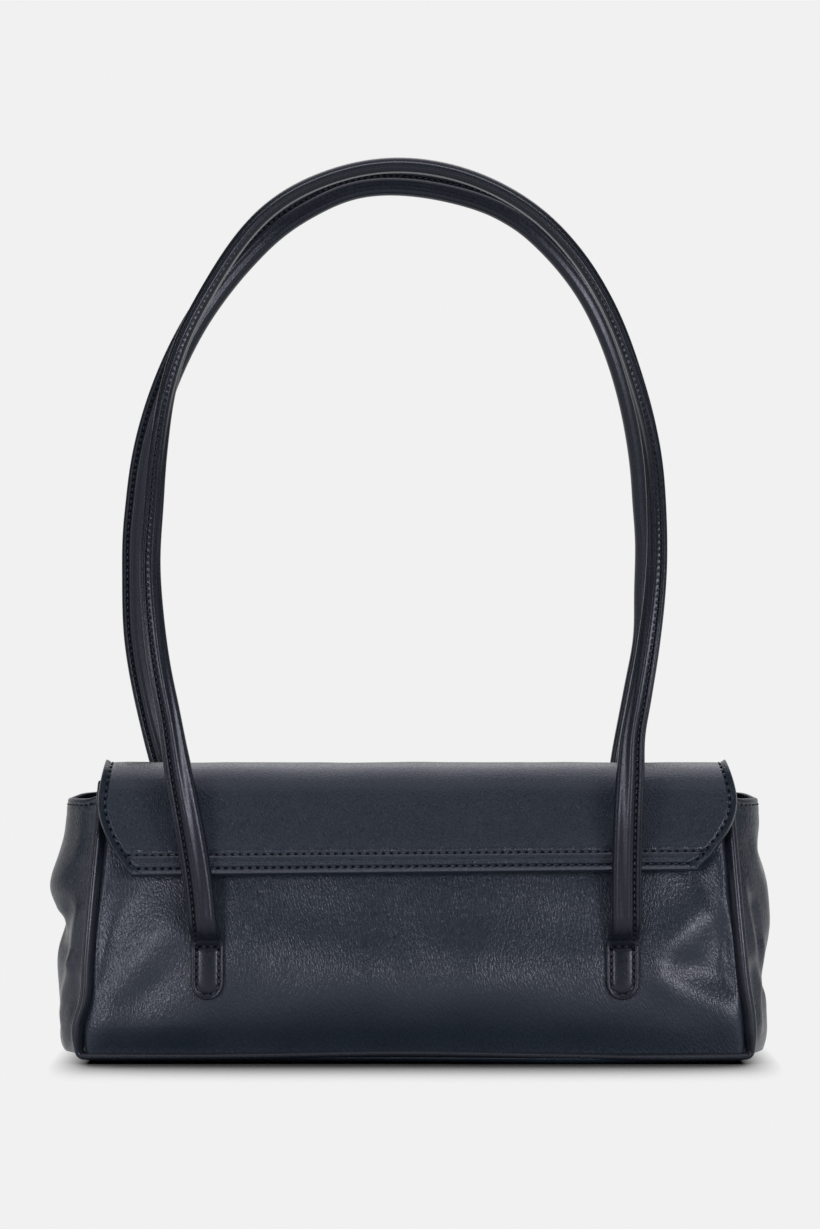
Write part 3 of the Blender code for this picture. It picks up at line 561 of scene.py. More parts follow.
def handle_path(word):
    """Centre line of a handle from its left tab's foot, over the arch, to its right tab's foot.

    The tabs lie on the wall. The strands ease outwards with a smooth step and run into half an
    ellipse. Two thirds of their stand off the wall is reached by a smooth step over 12 mm, and
    the rest evenly up to a height of 105 mm. They lean in towards the other handle near the top.
    The left strand is bowed outwards low down and slack at the shoulder.
    """
    side = dict(SIDES)[word]
    half_span, rise, lean, bow, drop, fade, full = HANDLE_ARCHES[word]
    start, top = TAB_TOP + GAP, ARCH_SPRING_HEIGHT + rise
    bend = ARCH_SPRING_HEIGHT - STRAND_BEND_MARGIN
    foot = np.array((0, 0.2, 0.6, 1.2, 1.8, 2.4, 3.2, 4.2, 5.4, 7.0)) / 1000
    head = np.array((3.0, 1.8, 1.2, 0.6, 0)) / 1000
    strand = np.concatenate([
        TAB_BOTTOM + foot, np.linspace(TAB_BOTTOM + 0.0090, TAB_TOP - 0.0050, 6), TAB_TOP - head,
        start + 0.0003 + 0.0009 * np.arange(16),
        np.linspace(start + 0.016, ARCH_SPRING_HEIGHT, 44)[:-1]])
    spread = smooth((strand - start) / (bend - start))
    spread = TAB_HALF_SPAN + (half_span - TAB_HALF_SPAN) * spread
    turn = np.linspace(math.pi, 0, 97)
    x = np.concatenate([-spread, half_span * np.cos(turn), spread[::-1]])
    z = np.concatenate([strand, ARCH_SPRING_HEIGHT + rise * np.sin(turn), strand[::-1]])
    low = smooth((z - start) / (BOW_HEIGHT - start))
    slack = smooth((z - BOW_HEIGHT) / (SHOULDER_HEIGHT - BOW_HEIGHT))
    left = drop * slack - bow * low * (1 - slack)
    left = left * smooth((-x / half_span - fade) / (full - fade))
    shift = hand_curve(x, z, STRAND_SHIFTS[word])
    x = x + lean * smooth((z - start) / (bend - start)) + left + shift
    tab_y = wall_depth(side, x / half_width(z), np.minimum(z, TAB_TOP)) + GAP + TAB_THICKNESS / 2
    stand = 0.66 * smooth((z - start) / 0.012)
    stand = stand + 0.34 * np.clip((z - start) / (0.105 - start), 0, 1)
    y = tab_y + (STRAND_HALF_DEPTH - tab_y) * stand
    lean_in = smooth((z - STRAND_UPRIGHT_HEIGHT) / (top - STRAND_UPRIGHT_HEIGHT))
    y = y - (STRAND_HALF_DEPTH - ARCH_TOP_HALF_DEPTH) * lean_in
    return np.stack([x, side * y, z], axis=-1)


def path_frames(path, side):
    """Directions along the path, outwards from the arch in its plane, and away from the bag."""
    along = np.gradient(path, axis=0)
    along[:, 1] *= path[:, 2] > TAB_TOP + 0.004
    along = unit(along)
    away = unit(np.array((0, side, 0)) - along * (along[:, 1] * side)[:, None])
    return along, np.cross(along, away) * side, away


def tab_relief(distance):
    """Height of a tab's face at a distance from its outline: thin rim, groove, padded middle."""
    places = np.array((0, 0.1, 0.3, 0.6, 0.95, 1.4, 1.9, 2.4, 2.85, 3.5, 4.7, 7.25)) / 1000
    heights = np.array((-0.2, 0.55, 0.95, 1.1, 0.95, 1.0, 0.85, 0.5, 0.72, 0.92, 1.08, 1.15)) / 1000
    return np.interp(distance, places, heights)


def handle_points(word):
    """Rings of a handle: its round section with a flange, easing to the flat tabs at both ends.

    The front handle's section turns about its line on the way up, its flange towards the front.
    Each ring is the section's half on the face side followed by the half on the bag's side.
    """
    side = dict(SIDES)[word]
    path = handle_path(word)
    along, outward, away = path_frames(path, side)
    z = path[:, 2]
    flat = (1 - smooth((z - TAB_TOP) / FLATTEN_LENGTH))[:, None]
    flare = (1 - smooth((z - TAB_TOP) / (1.6 * FLATTEN_LENGTH)))[:, None]
    wide = 1 + 0.16 * (smooth((0.150 - z) / 0.030))[:, None]
    rise = z - TAB_BOTTOM
    end = np.clip(rise / TAB_HALF_WIDTH, 0, 1)
    flat_out = FLAT_OUTWARD[None] * np.sqrt(np.clip(1 - (1 - end) ** 2, 0, 1))[:, None]
    below = np.clip(TAB_HALF_WIDTH - rise, 0, None)[:, None]
    inside = np.where((rise < TAB_HALF_WIDTH)[:, None], TAB_HALF_WIDTH - np.hypot(flat_out, below),
                      TAB_HALF_WIDTH - np.abs(flat_out))
    crossing = np.exp(-((z[:, None] - TAB_TOP) / 0.0009) ** 2)
    crossing = crossing * smooth((inside - TAB_ROW + 0.0006) / 0.0008)
    front_flat = tab_relief(inside) - 0.0009 * crossing
    back_flat = -TAB_THICKNESS / 2 * smooth(inside / 0.0004)
    out = ROUND_HALF[None, :, 0] * wide * (1 - flare) + flat_out * flare
    front = ROUND_HALF[None, :, 1] * (1 - flat) + front_flat * flat
    back = -ROUND_HALF[None, :, 1] * (1 - flat) + back_flat * flat
    ring_out = np.concatenate([out, out[:, -2:0:-1]], axis=1)
    ring_away = np.concatenate([front, back[:, -2:0:-1]], axis=1)
    if side < 0:
        turn = np.radians(table_curve(z, STRAND_TURNS))[:, None]
        path = path + outward * table_curve(z, STRAND_OFFSETS)[:, None]
        outward, away = (outward * np.cos(turn) + away * np.sin(turn),
                         away * np.cos(turn) - outward * np.sin(turn))
    points = (path[:, None] + outward[:, None] * ring_out[..., None]
              + away[:, None] * ring_away[..., None])
    ring_inside = np.concatenate([inside, inside[:, -2:0:-1] + 1], axis=1)
    across = np.where(z[:, None] > TAB_TOP, ring_out - ROUND_HALF[STITCH_COLUMN, 0] * wide,
                      ring_inside - TAB_ROW)
    row_along = np.repeat(distance_along(path)[:, None], across.shape[1], axis=1)
    return points, path, away, {"row_across": across, "row_along": row_along}


# Meshes


def spaced(half, rim, count):
    """Places from -half to half: at the rim's distances from both edges, and evenly between."""
    half = np.asarray(half, float)[..., None]
    rim = np.asarray(rim)
    middle = (half - rim[-1]) * np.linspace(-1, 1, count)[1:-1]
    return np.concatenate([-half + rim, middle, half - rim[::-1]], axis=-1)


def quads_of(rows, columns, ring=False):
    """Quads between neighbouring grid points; in a ring the last column joins the first."""
    index = np.arange(rows * columns).reshape(rows, columns)
    if ring:
        index = np.concatenate([index, index[:, :1]], axis=1)
    quads = np.stack([index[:-1, :-1], index[:-1, 1:], index[1:, 1:], index[1:, :-1]], axis=-1)
    return quads.reshape(-1, 4)


def new_object(name, points, faces, material, fields=()):
    """A smooth mesh object at the origin, with its place in its points and its fields per point."""
    mesh = bpy.data.meshes.new(name)
    mesh.from_pydata(points.reshape(-1, 3).tolist(), [], faces)
    mesh.update()
    mesh.materials.append(material)
    mesh.shade_smooth()
    for field, values in dict(fields).items():
        layer = mesh.attributes.new(field, 'FLOAT', 'POINT')
        layer.data.foreach_set("value", np.ravel(values).astype(np.float32))
    made = bpy.data.objects.new(name, mesh)
    bpy.context.scene.collection.objects.link(made)
    return made


def add_modifier(made, name, kind, **values):
    """A modifier with its settings."""
    modifier = made.modifiers.new(name, kind)
    for key, value in values.items():
        setattr(modifier, key, value)


def subdivide(made, levels=1):
    """Rounder forms, with as many levels in the view as in the render."""
    add_modifier(made, "Smooth form", 'SUBSURF', levels=levels, render_levels=levels)


def sheet_object(name, points, outward, thickness, look, nodes, body="bag_body", levels=1,
                 fields=()):
    """A soft sheet over a grid of its outer points, thickened inwards and smoothed.

    It takes a look's finish, and stands for some nodes of the solids, which it hides.
    """
    rows, columns = points.shape[:2]
    quads = quads_of(rows, columns)
    i, j = rows // 2, columns // 2
    normal = np.cross(points[i, j + 1] - points[i, j], points[i + 1, j] - points[i, j])
    if np.dot(normal, outward) < 0:
        quads = quads[:, ::-1]
    made = new_object(name, points, quads.tolist(), finish(look), fields)
    add_modifier(made, "Leather thickness", 'SOLIDIFY', thickness=thickness, offset=-1)
    if levels:
        subdivide(made, levels)
    if body:
        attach(made, body)
    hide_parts(*nodes)
    return made


def tube_object(name, rings, look, nodes, fields=()):
    """A closed tube from rings of points, its ends drawn together and its faces outwards."""
    count, sides = rings.shape[:2]
    points = np.concatenate([rings.reshape(-1, 3), [rings[0].mean(axis=0), rings[-1].mean(axis=0)]])
    quads = quads_of(count, sides, ring=True)
    first = np.arange(sides)
    last = first + (count - 1) * sides
    low_cap = np.stack([np.full(sides, count * sides), np.roll(first, -1), first], axis=-1)
    high_cap = np.stack([np.full(sides, count * sides + 1), last, np.roll(last, -1)], axis=-1)
    faces = [quads, low_cap, high_cap]
    a, b, c = points[quads[:, 0]], points[quads[:, 1]], points[quads[:, 2]]
    if (a * np.cross(b, c)).sum() < 0:
        faces = [group[:, ::-1] for group in faces]
    faces = sum((group.tolist() for group in faces), [])
    fields = {key: np.append(values.ravel(), (1.0, 1.0)) for key, values in dict(fields).items()}
    made = new_object(name, points, faces, finish(look), fields)
    subdivide(made)
    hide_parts(*nodes)
    return made


def stitch_points(path, normals, pitch, radius):
    """Stitches along a path: arched threads of six sides, placed by whole-array sums.

    A stitch is 0.54 pitch long. Its middle line is lifted by radius * (0.5 - 1.2 t^2) for t from
    -1 to 1, and its radius is held to t = 0.75 and then shrinks.
    """
    length = distance_along(path)
    count = max(int(length[-1] / pitch), 1)
    middles = (np.arange(count) + 0.5) * length[-1] / count
    centre = read_along(middles, length, path)
    behind, ahead = (read_along(middles + shift, length, path) for shift in (-pitch / 3, pitch / 3))
    along = unit(ahead - behind)
    up = read_along(middles, length, normals)
    up = unit(up - along * (up * along).sum(axis=1)[:, None])
    beside = np.cross(up, along)
    t = np.array((-1, -0.75, 0, 0.75, 1))
    size = np.array((0.45, 0.95, 1, 0.95, 0.45)) * radius
    turn = np.arange(6) * math.pi / 3
    rise = radius * (0.5 - 1.2 * t ** 2)
    template = np.zeros((5, 6, 3))
    template[..., 0] = (t * 0.27 * length[-1] / count)[:, None]
    template[..., 1] = size[:, None] * np.cos(turn)
    template[..., 2] = rise[:, None] + size[:, None] * np.sin(turn)
    axes = np.stack([along, beside, up], axis=1)
    return centre[:, None, None] + np.einsum("rsk,nkd->nrsd", template, axes)


def stitch_object(name, rows, pitch):
    """One object of all the stitches of some rows: each row is a path and its surface normals."""
    points = np.concatenate([stitch_points(path, normals, pitch, sizes().thread_radius)
                             for path, normals in rows])
    quads = quads_of(5, 6, ring=True)
    caps = np.array((np.arange(6)[::-1], np.arange(6) + 24))
    first = points[0].reshape(-1, 3) - points[0].reshape(-1, 3).mean(axis=0)
    a, b, c = first[quads[:, 0]], first[quads[:, 1]], first[quads[:, 2]]
    if (a * np.cross(b, c)).sum() < 0:
        quads, caps = quads[:, ::-1], caps[:, ::-1]
    shift = np.arange(len(points))[:, None, None] * 30
    faces = [(group + shift).reshape(-1, group.shape[1]).tolist() for group in (quads, caps)]
    made = new_object(name, points, faces[0] + faces[1], finish("sewing_thread"))
    return made


# Materials


def new_material(name, colour, roughness, metallic=0.0, specular=0.5):
    """A node material with its constants on the shader; returns the parts to build on."""
    made = bpy.data.materials.new(name)
    made.use_nodes = True
    tree = made.node_tree
    shader = tree.nodes["Principled BSDF"]
    shader.inputs["Metallic"].default_value = metallic
    shader.inputs["Specular IOR Level"].default_value = specular
    shader.inputs["Roughness"].default_value = roughness
    shader.inputs["Base Color"].default_value = (*colour, 1)
    coords = tree.nodes.new("ShaderNodeTexCoord")
    return made, tree, shader, coords.outputs["Object"]


def add_node(tree, kind, inputs=(), **values):
    """A node with its settings, its linked inputs and its constant inputs."""
    node = tree.nodes.new(kind)
    for key, value in values.items():
        setattr(node, key, value)
    for key, value in dict(inputs).items():
        if isinstance(value, NodeSocket):
            tree.links.new(value, node.inputs[key])
        else:
            node.inputs[key].default_value = value
    return node


def maths(tree, operation, *values):
    """Output of a Math node over some values."""
    return add_node(tree, "ShaderNodeMath", dict(enumerate(values)), operation=operation).outputs[0]


def vector_maths(tree, operation, *values):
    """Output of a Vector Math node over some vectors."""
    node = add_node(tree, "ShaderNodeVectorMath", dict(enumerate(values)), operation=operation)
    return node.outputs["Value" if operation == 'LENGTH' else "Vector"]


def noise(tree, coords, scale, detail=3.0, rough=0.5, distortion=0.0):
    """Output of a Noise Texture node."""
    node = add_node(tree, "ShaderNodeTexNoise", {"Vector": coords, "Scale": scale, "Detail": detail,
                                                 "Roughness": rough, "Distortion": distortion})
    return node.outputs["Fac"]


def mapped(tree, value, low, high, to_low, to_high):
    """A value's range from low to high, stretched to another range and held at both ends."""
    node = add_node(tree, "ShaderNodeMapRange", {"Value": value, "From Min": low, "From Max": high,
                                                 "To Min": to_low, "To Max": to_high})
    return node.outputs["Result"]


def shaded(tree, shader, colour, share, dark, light):
    """Base colour between a darker and a lighter shade of the colour, by a share."""
    mix = add_node(tree, "ShaderNodeMix", {"Factor": share}, data_type='RGBA')
    for socket in mix.inputs:
        if socket.type == 'RGBA':
            factor = dark if socket.name == "A" else light
            socket.default_value = (*[min(c * factor, 1) for c in colour], 1)
    output = next(socket for socket in mix.outputs if socket.type == 'RGBA')
    tree.links.new(output, shader.inputs["Base Color"])


def bumped(tree, shader, layers, strength):
    """Bump from several (height, size in metres) layers, each on top of the one before."""
    under = {}
    for height, size in layers:
        bump = add_node(tree, "ShaderNodeBump", {"Height": height, "Distance": size,
                                                 "Strength": strength, **under})
        under = {"Normal": bump.outputs["Normal"]}
    tree.links.new(under["Normal"], shader.inputs["Normal"])


def mixed(tree, share, first, second, output):
    """Surface of an output that goes from one shader to another by a share."""
    mix = add_node(tree, "ShaderNodeMixShader",
                   {0: share, 1: first.outputs[0], 2: second.outputs[0]})
    tree.links.new(mix.outputs[0], tree.nodes[output].inputs["Surface"])


def puckers(tree, pitch):
    """Pull of a stitch row: exp(-(distance / 0.6 mm)^2), deepest at each stitch's ends.

    It reads the piece's own fields: the distance across from the nearest row and along it.
    """
    across, along = (add_node(tree, "ShaderNodeAttribute", attribute_name=field).outputs["Fac"]
                     for field in ("row_across", "row_along"))
    scaled = maths(tree, 'MULTIPLY', across, 1 / 0.0006)
    square = maths(tree, 'MULTIPLY', scaled, scaled)
    fall = maths(tree, 'EXPONENT', maths(tree, 'MULTIPLY', square, -1.0))
    wave = maths(tree, 'COSINE', maths(tree, 'MULTIPLY', along, 2 * math.pi / pitch))
    return maths(tree, 'MULTIPLY', fall, mapped(tree, wave, -1.0, 1.0, -0.35, -1.0))


def leather(name, colour, roughness, grain=1.0, specular=0.38, pitch=0.0, relief=1.0):
    """Grained faux leather: pebble cells and short wrinkles in the bump, uneven shade and gloss.

    The grain is turned and stretched off the axes. With a stitch pitch it puckers along its rows.
    """
    made, tree, shader, coords = new_material(name, colour, roughness, specular=specular)
    shader.inputs["Specular Tint"].default_value = (0.84, 0.85, 1.0, 1)
    turned = add_node(tree, "ShaderNodeMapping", {"Vector": coords, "Rotation": (0.25, -0.28, 0.1),
                                                  "Scale": (1.0, 1.0, 2.4)},
                      vector_type='TEXTURE').outputs["Vector"]
    cells = add_node(tree, "ShaderNodeTexVoronoi", {"Vector": turned, "Scale": 820.0 / grain},
                     feature='DISTANCE_TO_EDGE').outputs["Distance"]
    pebble = mapped(tree, cells, 0.0, 0.28, 0.0, 1.0)
    wrinkle = noise(tree, turned, 800.0 / grain, 4.0, 0.62, 0.6)
    broad = noise(tree, coords, 60.0, 3.0, 0.5, 0.4)
    shade = mapped(tree, noise(tree, coords, 26.0, 4.0, 0.55), 0.3, 0.7, 0.0, 1.0)
    shaded(tree, shader, colour, shade, 0.93, 1.07)
    gloss = mapped(tree, wrinkle, 0.3, 0.7, roughness - 0.05, roughness + 0.07)
    tree.links.new(gloss, shader.inputs["Roughness"])
    size = sizes().grain_height * relief
    layers = [(broad, size * 1.2), (wrinkle, size * 1.5), (pebble, size * 0.8)]
    if pitch:
        layers.insert(0, (puckers(tree, pitch), 0.0004))
    bumped(tree, shader, layers, 0.8)
    return made


def cloth(name, colour):
    """Plain weave: two crossing thread waves in bump and colour, with uneven yarn."""
    made, tree, shader, coords = new_material(name, colour, 0.82, specular=0.25)
    shader.inputs["Sheen Weight"].default_value = 0.15
    yarns = []
    for turn in ((0, 0, 0), (0, math.pi / 2, 0)):
        turned = add_node(tree, "ShaderNodeMapping", {"Vector": coords, "Rotation": turn})
        wave = add_node(tree, "ShaderNodeTexWave",
                        {"Vector": turned.outputs["Vector"], "Scale": 320.0, "Distortion": 1.2,
                         "Detail": 2.0, "Detail Scale": 2.0},
                        wave_type='BANDS', bands_direction='X')
        yarns.append(wave.outputs["Fac"])
    weave = maths(tree, 'MULTIPLY', *yarns)
    shaded(tree, shader, colour, weave, 0.7, 1.35)
    bumped(tree, shader, ((weave, 0.00018), (noise(tree, coords, 90.0), 0.0004)), 0.7)
    return made


def thread(name, colour):
    """Twisted thread: slanting ply waves in the bump and fine fuzz in the shade."""
    made, tree, shader, coords = new_material(name, colour, 0.85, specular=0.03)
    ply = add_node(tree, "ShaderNodeTexWave", {"Vector": coords, "Scale": 900.0, "Distortion": 0.8},
                   wave_type='BANDS', bands_direction='DIAGONAL').outputs["Fac"]
    shaded(tree, shader, colour, noise(tree, coords, 1500.0), 0.6, 1.6)
    bumped(tree, shader, ((ply, 0.00008),), 0.6)
    return made


def board(name, colour, scale, dark, light, relief):
    """Pressed fibre, foam or felt: cloudy shade with fine flecks, and a matt uneven surface."""
    made, tree, shader, coords = new_material(name, colour, 0.88, specular=0.2)
    flecks = noise(tree, coords, scale, 6.0, 0.7, 0.6)
    shaded(tree, shader, colour, mapped(tree, flecks, 0.3, 0.7, 0.0, 1.0), dark, light)
    bumped(tree, shader, ((flecks, relief), (noise(tree, coords, scale / 8), relief * 2)), 0.6)
    return made


def plated_metal(name, colour):
    """Plated metal: fine scratches in the roughness, faint tarnish in the colour."""
    made, tree, shader, coords = new_material(name, colour, 0.4, metallic=1.0)
    scratched = add_node(tree, "ShaderNodeMapping", {"Vector": coords, "Scale": (1.0, 1.0, 14.0)})
    fine = noise(tree, scratched.outputs["Vector"], 700.0, 4.0, 0.7)
    shaded(tree, shader, colour, noise(tree, coords, 220.0, 3.0), 0.82, 1.08)
    tree.links.new(mapped(tree, fine, 0.3, 0.7, 0.32, 0.5), shader.inputs["Roughness"])
    bumped(tree, shader, ((fine, 0.00002),), 0.5)
    return made


def ground_material(name, colour):
    """Pale ground that keeps the bag's shadow and eases to its own plain colour round it.

    What the camera and the gloss see goes from the lit ground, darkened further by a painted
    contact shadow that grows with how closed in each place is, to the plain colour by the distance
    from the bag's footprint. In front, the gloss sees the glow dimmed, a painted darker reflection
    on the bag.
    """
    made, tree, shader, coords = new_material(name, colour, 0.9, specular=0.0)
    glow = add_node(tree, "ShaderNodeEmission", {"Color": (*colour, 1), "Strength": 1.0})
    path = add_node(tree, "ShaderNodeLightPath").outputs
    seen = maths(tree, 'MAXIMUM', path["Is Camera Ray"], path["Is Glossy Ray"])
    seen = maths(tree, 'MAXIMUM', seen, path["Is Transmission Ray"])
    # Painted contact shadow: for the camera and the gloss, ambient occlusion darkens the ground's
    # colour near the bag
    painted_contact_shade = add_node(tree, "ShaderNodeAmbientOcclusion", {"Distance": 0.10}, samples=8)
    shadow = maths(tree, 'MAXIMUM', maths(tree, 'SUBTRACT', 1.0, seen), painted_contact_shade.outputs["AO"])
    shaded(tree, shader, colour, maths(tree, 'POWER', shadow, 3.5), 0.0, 1.0)
    apart = vector_maths(tree, 'ABSOLUTE', coords)
    apart = vector_maths(tree, 'SUBTRACT', apart, (0.138, 0.030, 0.0))
    apart = vector_maths(tree, 'MAXIMUM', apart, (0.0, 0.0, 0.0))
    apart = vector_maths(tree, 'MULTIPLY', apart, (6.0, 1.0, 1.0))
    plain = mapped(tree, vector_maths(tree, 'LENGTH', apart), 0.02, 0.12, 0.0, 1.0)
    depth = add_node(tree, "ShaderNodeSeparateXYZ", {0: coords}).outputs["Y"]
    # Painted darker reflection: the ground's glow seen by the gloss, not the camera, is dimmed in
    # front of the bag
    behind = mapped(tree, depth, -1.40, -0.30, 0.25, 1.0)
    behind = maths(tree, 'MAXIMUM', behind, path["Is Camera Ray"])
    share = maths(tree, 'MULTIPLY', seen, maths(tree, 'MULTIPLY', plain, behind))
    mixed(tree, share, shader, glow, "Material Output")
    return made


# Materials made so far, by their look's name
MATERIALS = {}


def finish(name):
    """The bag's materials, each made once."""
    if name not in MATERIALS:
        tint, pitch = colours(), sizes().stitch_pitch
        makers = {
            "wall_leather": lambda: leather(name, tint.leather, 0.30),
            "flap_leather": lambda: leather(name, tint.leather, 0.30, pitch=pitch),
            "gusset_leather": lambda: leather(name, tint.leather, 0.30, pitch=pitch),
            "handle_leather": lambda: leather(name, tint.handle_leather, 0.27, 0.8, 0.30,
                                              sizes().handle_pitch, relief=0.16),
            "piping_leather": lambda: leather(name, tint.handle_leather, 0.30, 0.8, 0.42,
                                              relief=0.12),
            "facing_leather": lambda: leather(name, tint.leather, 0.48, specular=0.2),
            "lining_cloth": lambda: cloth(name, tint.lining),
            "sewing_thread": lambda: thread(name, tint.thread),
            "snap_metal": lambda: plated_metal(name, tint.metal),
            "foam_stiffener": lambda: board(name, (0.10, 0.10, 0.11), 900.0, 0.7, 1.3, 0.0003),
            "base_board": lambda: board(name, (0.30, 0.27, 0.22), 260.0, 0.75, 1.2, 0.0002),
            "backing_felt": lambda: board(name, (0.08, 0.08, 0.09), 1200.0, 0.6, 1.4, 0.0002),
        }
        MATERIALS[name] = makers[name]()
    return MATERIALS[name]


# Pieces


def wall_points(side, bottom, top, inset, rim=None, columns=72, rows=30, closing=0.0):
    """Grid of a broad wall's points at an inset, with a rounded rim of a given radius.

    A closing top moves outwards by that much, from 5 to 2 mm below its edge.
    """
    rim_steps = RIM_STEPS if rim else (0,)
    heights = (bottom + top) / 2 + spaced((top - bottom) / 2, rim_steps, rows)
    wide = half_width(heights) - SEAM_CLEARANCE
    across = spaced(wide, rim_steps, columns) / wide[:, None]
    z = np.repeat(heights[:, None], across.shape[1], axis=1)
    depth = wall_depth(side, across, z) - inset
    if rim:
        depth = depth - rounded_rim((1 - np.abs(across)) * half_width(z), rim)
        depth = depth - rounded_rim(z - bottom, 0.0009)
    if closing:
        depth = depth + closing * smooth((z - top + 0.005) / 0.003)
    return np.stack([wall_x(across, z), side * depth, z], axis=-1)


def gusset_points(hand, bottom, top, inset, rim=None, columns=46, rows=44, closing=0.0):
    """Grid of a gusset's points at an inset, with a turned hem at the top, and its hem's fields."""
    rim_steps = RIM_STEPS if rim else (0,)
    levels = (bottom + top) / 2 + spaced((top - bottom) / 2, rim_steps, rows)
    edge = SEAM_CLEARANCE + (inset + LINING + GAP if inset else 0)
    wide = half_depth(levels) - edge
    across = spaced(wide, rim_steps, columns) / wide[:, None]
    level = np.repeat(levels[:, None], across.shape[1], axis=1)
    reach, half, height = gusset_place(hand, across, level)
    below = top - level
    if rim:
        reach = reach + HEM_HEIGHT * smooth((0.0058 - below) / 0.0008)
        reach = reach + groove(below - HEM_ROW, 0.0006, sizes().groove_depth)
        reach = reach - rounded_rim(np.minimum(below, (1 - np.abs(across)) * half), rim)
    if closing:
        reach = reach + closing * smooth((level - top + 0.005) / 0.003)
    points = np.stack([hand * (reach - inset), across * (half - edge), height], axis=-1)
    return points, {"row_across": below - HEM_ROW, "row_along": points[..., 1]}


def make_walls():
    """Front and rear walls, gussets and base."""
    for word, side in SIDES:
        points = wall_points(side, PANEL_FOOT - 0.0012, PANEL_TOP, 0, rim=0.0032)
        sheet_object(f"{word}_panel_leather", points, (0, side, 0), LEATHER, "wall_leather",
                     (f"{word}_panel",))
    for word, hand in HANDS:
        points, fields = gusset_points(hand, GUSSET_FOOT, GUSSET_TOP, 0, rim=0.0010)
        sheet_object(f"{word}_gusset_leather", points, (hand, 0, 0), LEATHER, "gusset_leather",
                     (f"{word}_gusset",), fields=fields)
    make_base()


def make_base():
    """Base: a tray whose rim rises as the square of the share into its last 10 mm.

    Right of the middle its front edge sags forward, fading as exp(-(distance / 60 mm)^2).
    """
    half_x = BASE_HALF_WIDTH - SEAM_CLEARANCE
    half_y = BASE_HALF_DEPTH - SEAM_CLEARANCE
    rim = (0, 0.001, 0.002, 0.0035, 0.005, 0.0065, 0.008, 0.010)
    across, along = np.meshgrid(spaced(half_x, rim, 70) / half_x, spaced(half_y, rim, 22) / half_y)
    bow = GUSSET_FOLDS[1][0][1] * np.abs(across) ** BASE_BOW * (1 - np.abs(along) ** FOLD_POWER)
    x = across * half_x + np.sign(across) * bow
    sag = np.exp(-((x - 0.070) / 0.060) ** 2) * (along < 0)
    edge_x, edge_y = BASE_EDGE / half_x, BASE_EDGE * (1 - 0.65 * sag) / half_y
    rise_x = np.clip((np.abs(across) - 1 + edge_x) / edge_x, 0, 1) ** 2
    rise_y = np.clip((np.abs(along) - 1 + edge_y) / edge_y, 0, 1) ** 2
    y = along * (half_y + 0.0032 * sag * smooth(1 - (1 - np.abs(along)) * half_y / 0.012))
    z = BASE_RISE * np.maximum(rise_x, rise_y)
    sheet_object("base_leather", np.stack([x, y, z], axis=-1), (0, 0, -1), LEATHER, "wall_leather",
                 ("base_panel",))


def piping_path(side):
    """Line of a piping: down one side seam, round a small corner, along the base and up again.

    Along the base it rises and dips by two humps exp(-(distance / width)^2).
    """
    corner = 0.0028
    heights = np.linspace(PANEL_TOP, PIPING_HEIGHT + corner, 60)
    turn = np.linspace(0, math.pi / 2, 7)[1:]
    bend_z = PIPING_HEIGHT + corner - corner * np.sin(turn)
    seams = []
    for hand in (-1, 1):
        x = hand * (half_width(heights) + table_curve(heights, SEAM_SHIFTS[hand]) + 0.0009)
        seams.append(np.concatenate([x, x[-1] - hand * corner * (1 - np.cos(turn))]))
    base_x = np.linspace(seams[0][-1], seams[1][-1], 90)[1:-1]
    sag = 0.0014 * np.exp(-((base_x + 0.005) / 0.055) ** 2)
    sag = sag - 0.0005 * np.exp(-((base_x - 0.109) / 0.03) ** 2)
    seam_z = np.concatenate([heights, bend_z])
    x = np.concatenate([seams[0], base_x, seams[1][::-1]])
    z = np.concatenate([seam_z, PIPING_HEIGHT + sag, seam_z[::-1]])
    return np.stack([x, side * half_depth(z), z], axis=-1)


def make_pipings():
    """Pipings of both walls. The section is a circle with a lip that runs into the seam."""
    for word, side in SIDES:
        path = piping_path(side)
        along = unit(np.gradient(path, axis=0))
        away = unit(np.array((0, side, 0)) - along * (along[:, 1] * side)[:, None])
        beside = np.cross(along, away)
        turn = np.arange(12) * math.pi / 6
        apart = np.abs((turn - side * 2 * math.pi / 3 + math.pi) % (2 * math.pi) - math.pi)
        lip = 1 + 1.3 * np.exp(-(apart / 0.5) ** 2)
        radius = (0.00125 + 0.0008 * smooth((path[:, 2] - 0.004) / 0.010))[:, None, None]
        rings = (path[:, None] + away[:, None] * radius * (lip * np.cos(turn))[None, :, None]
                 + beside[:, None] * radius * (lip * np.sin(turn))[None, :, None])
        made = tube_object(f"{word}_piping_leather", rings, "piping_leather", (f"{word}_piping",))
        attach(made, "bag_body")


def row_fields(choices):
    """Fields for the puckers: of several (across, along) pairs, the one with the least |across|."""
    across, along = (np.stack([np.broadcast_to(pair[i], choices[0][0].shape) for pair in choices])
                     for i in (0, 1))
    nearest = np.abs(across).argmin(axis=0)[None]
    return {"row_across": np.take_along_axis(across, nearest, 0)[0],
            "row_along": np.take_along_axis(along, nearest, 0)[0]}


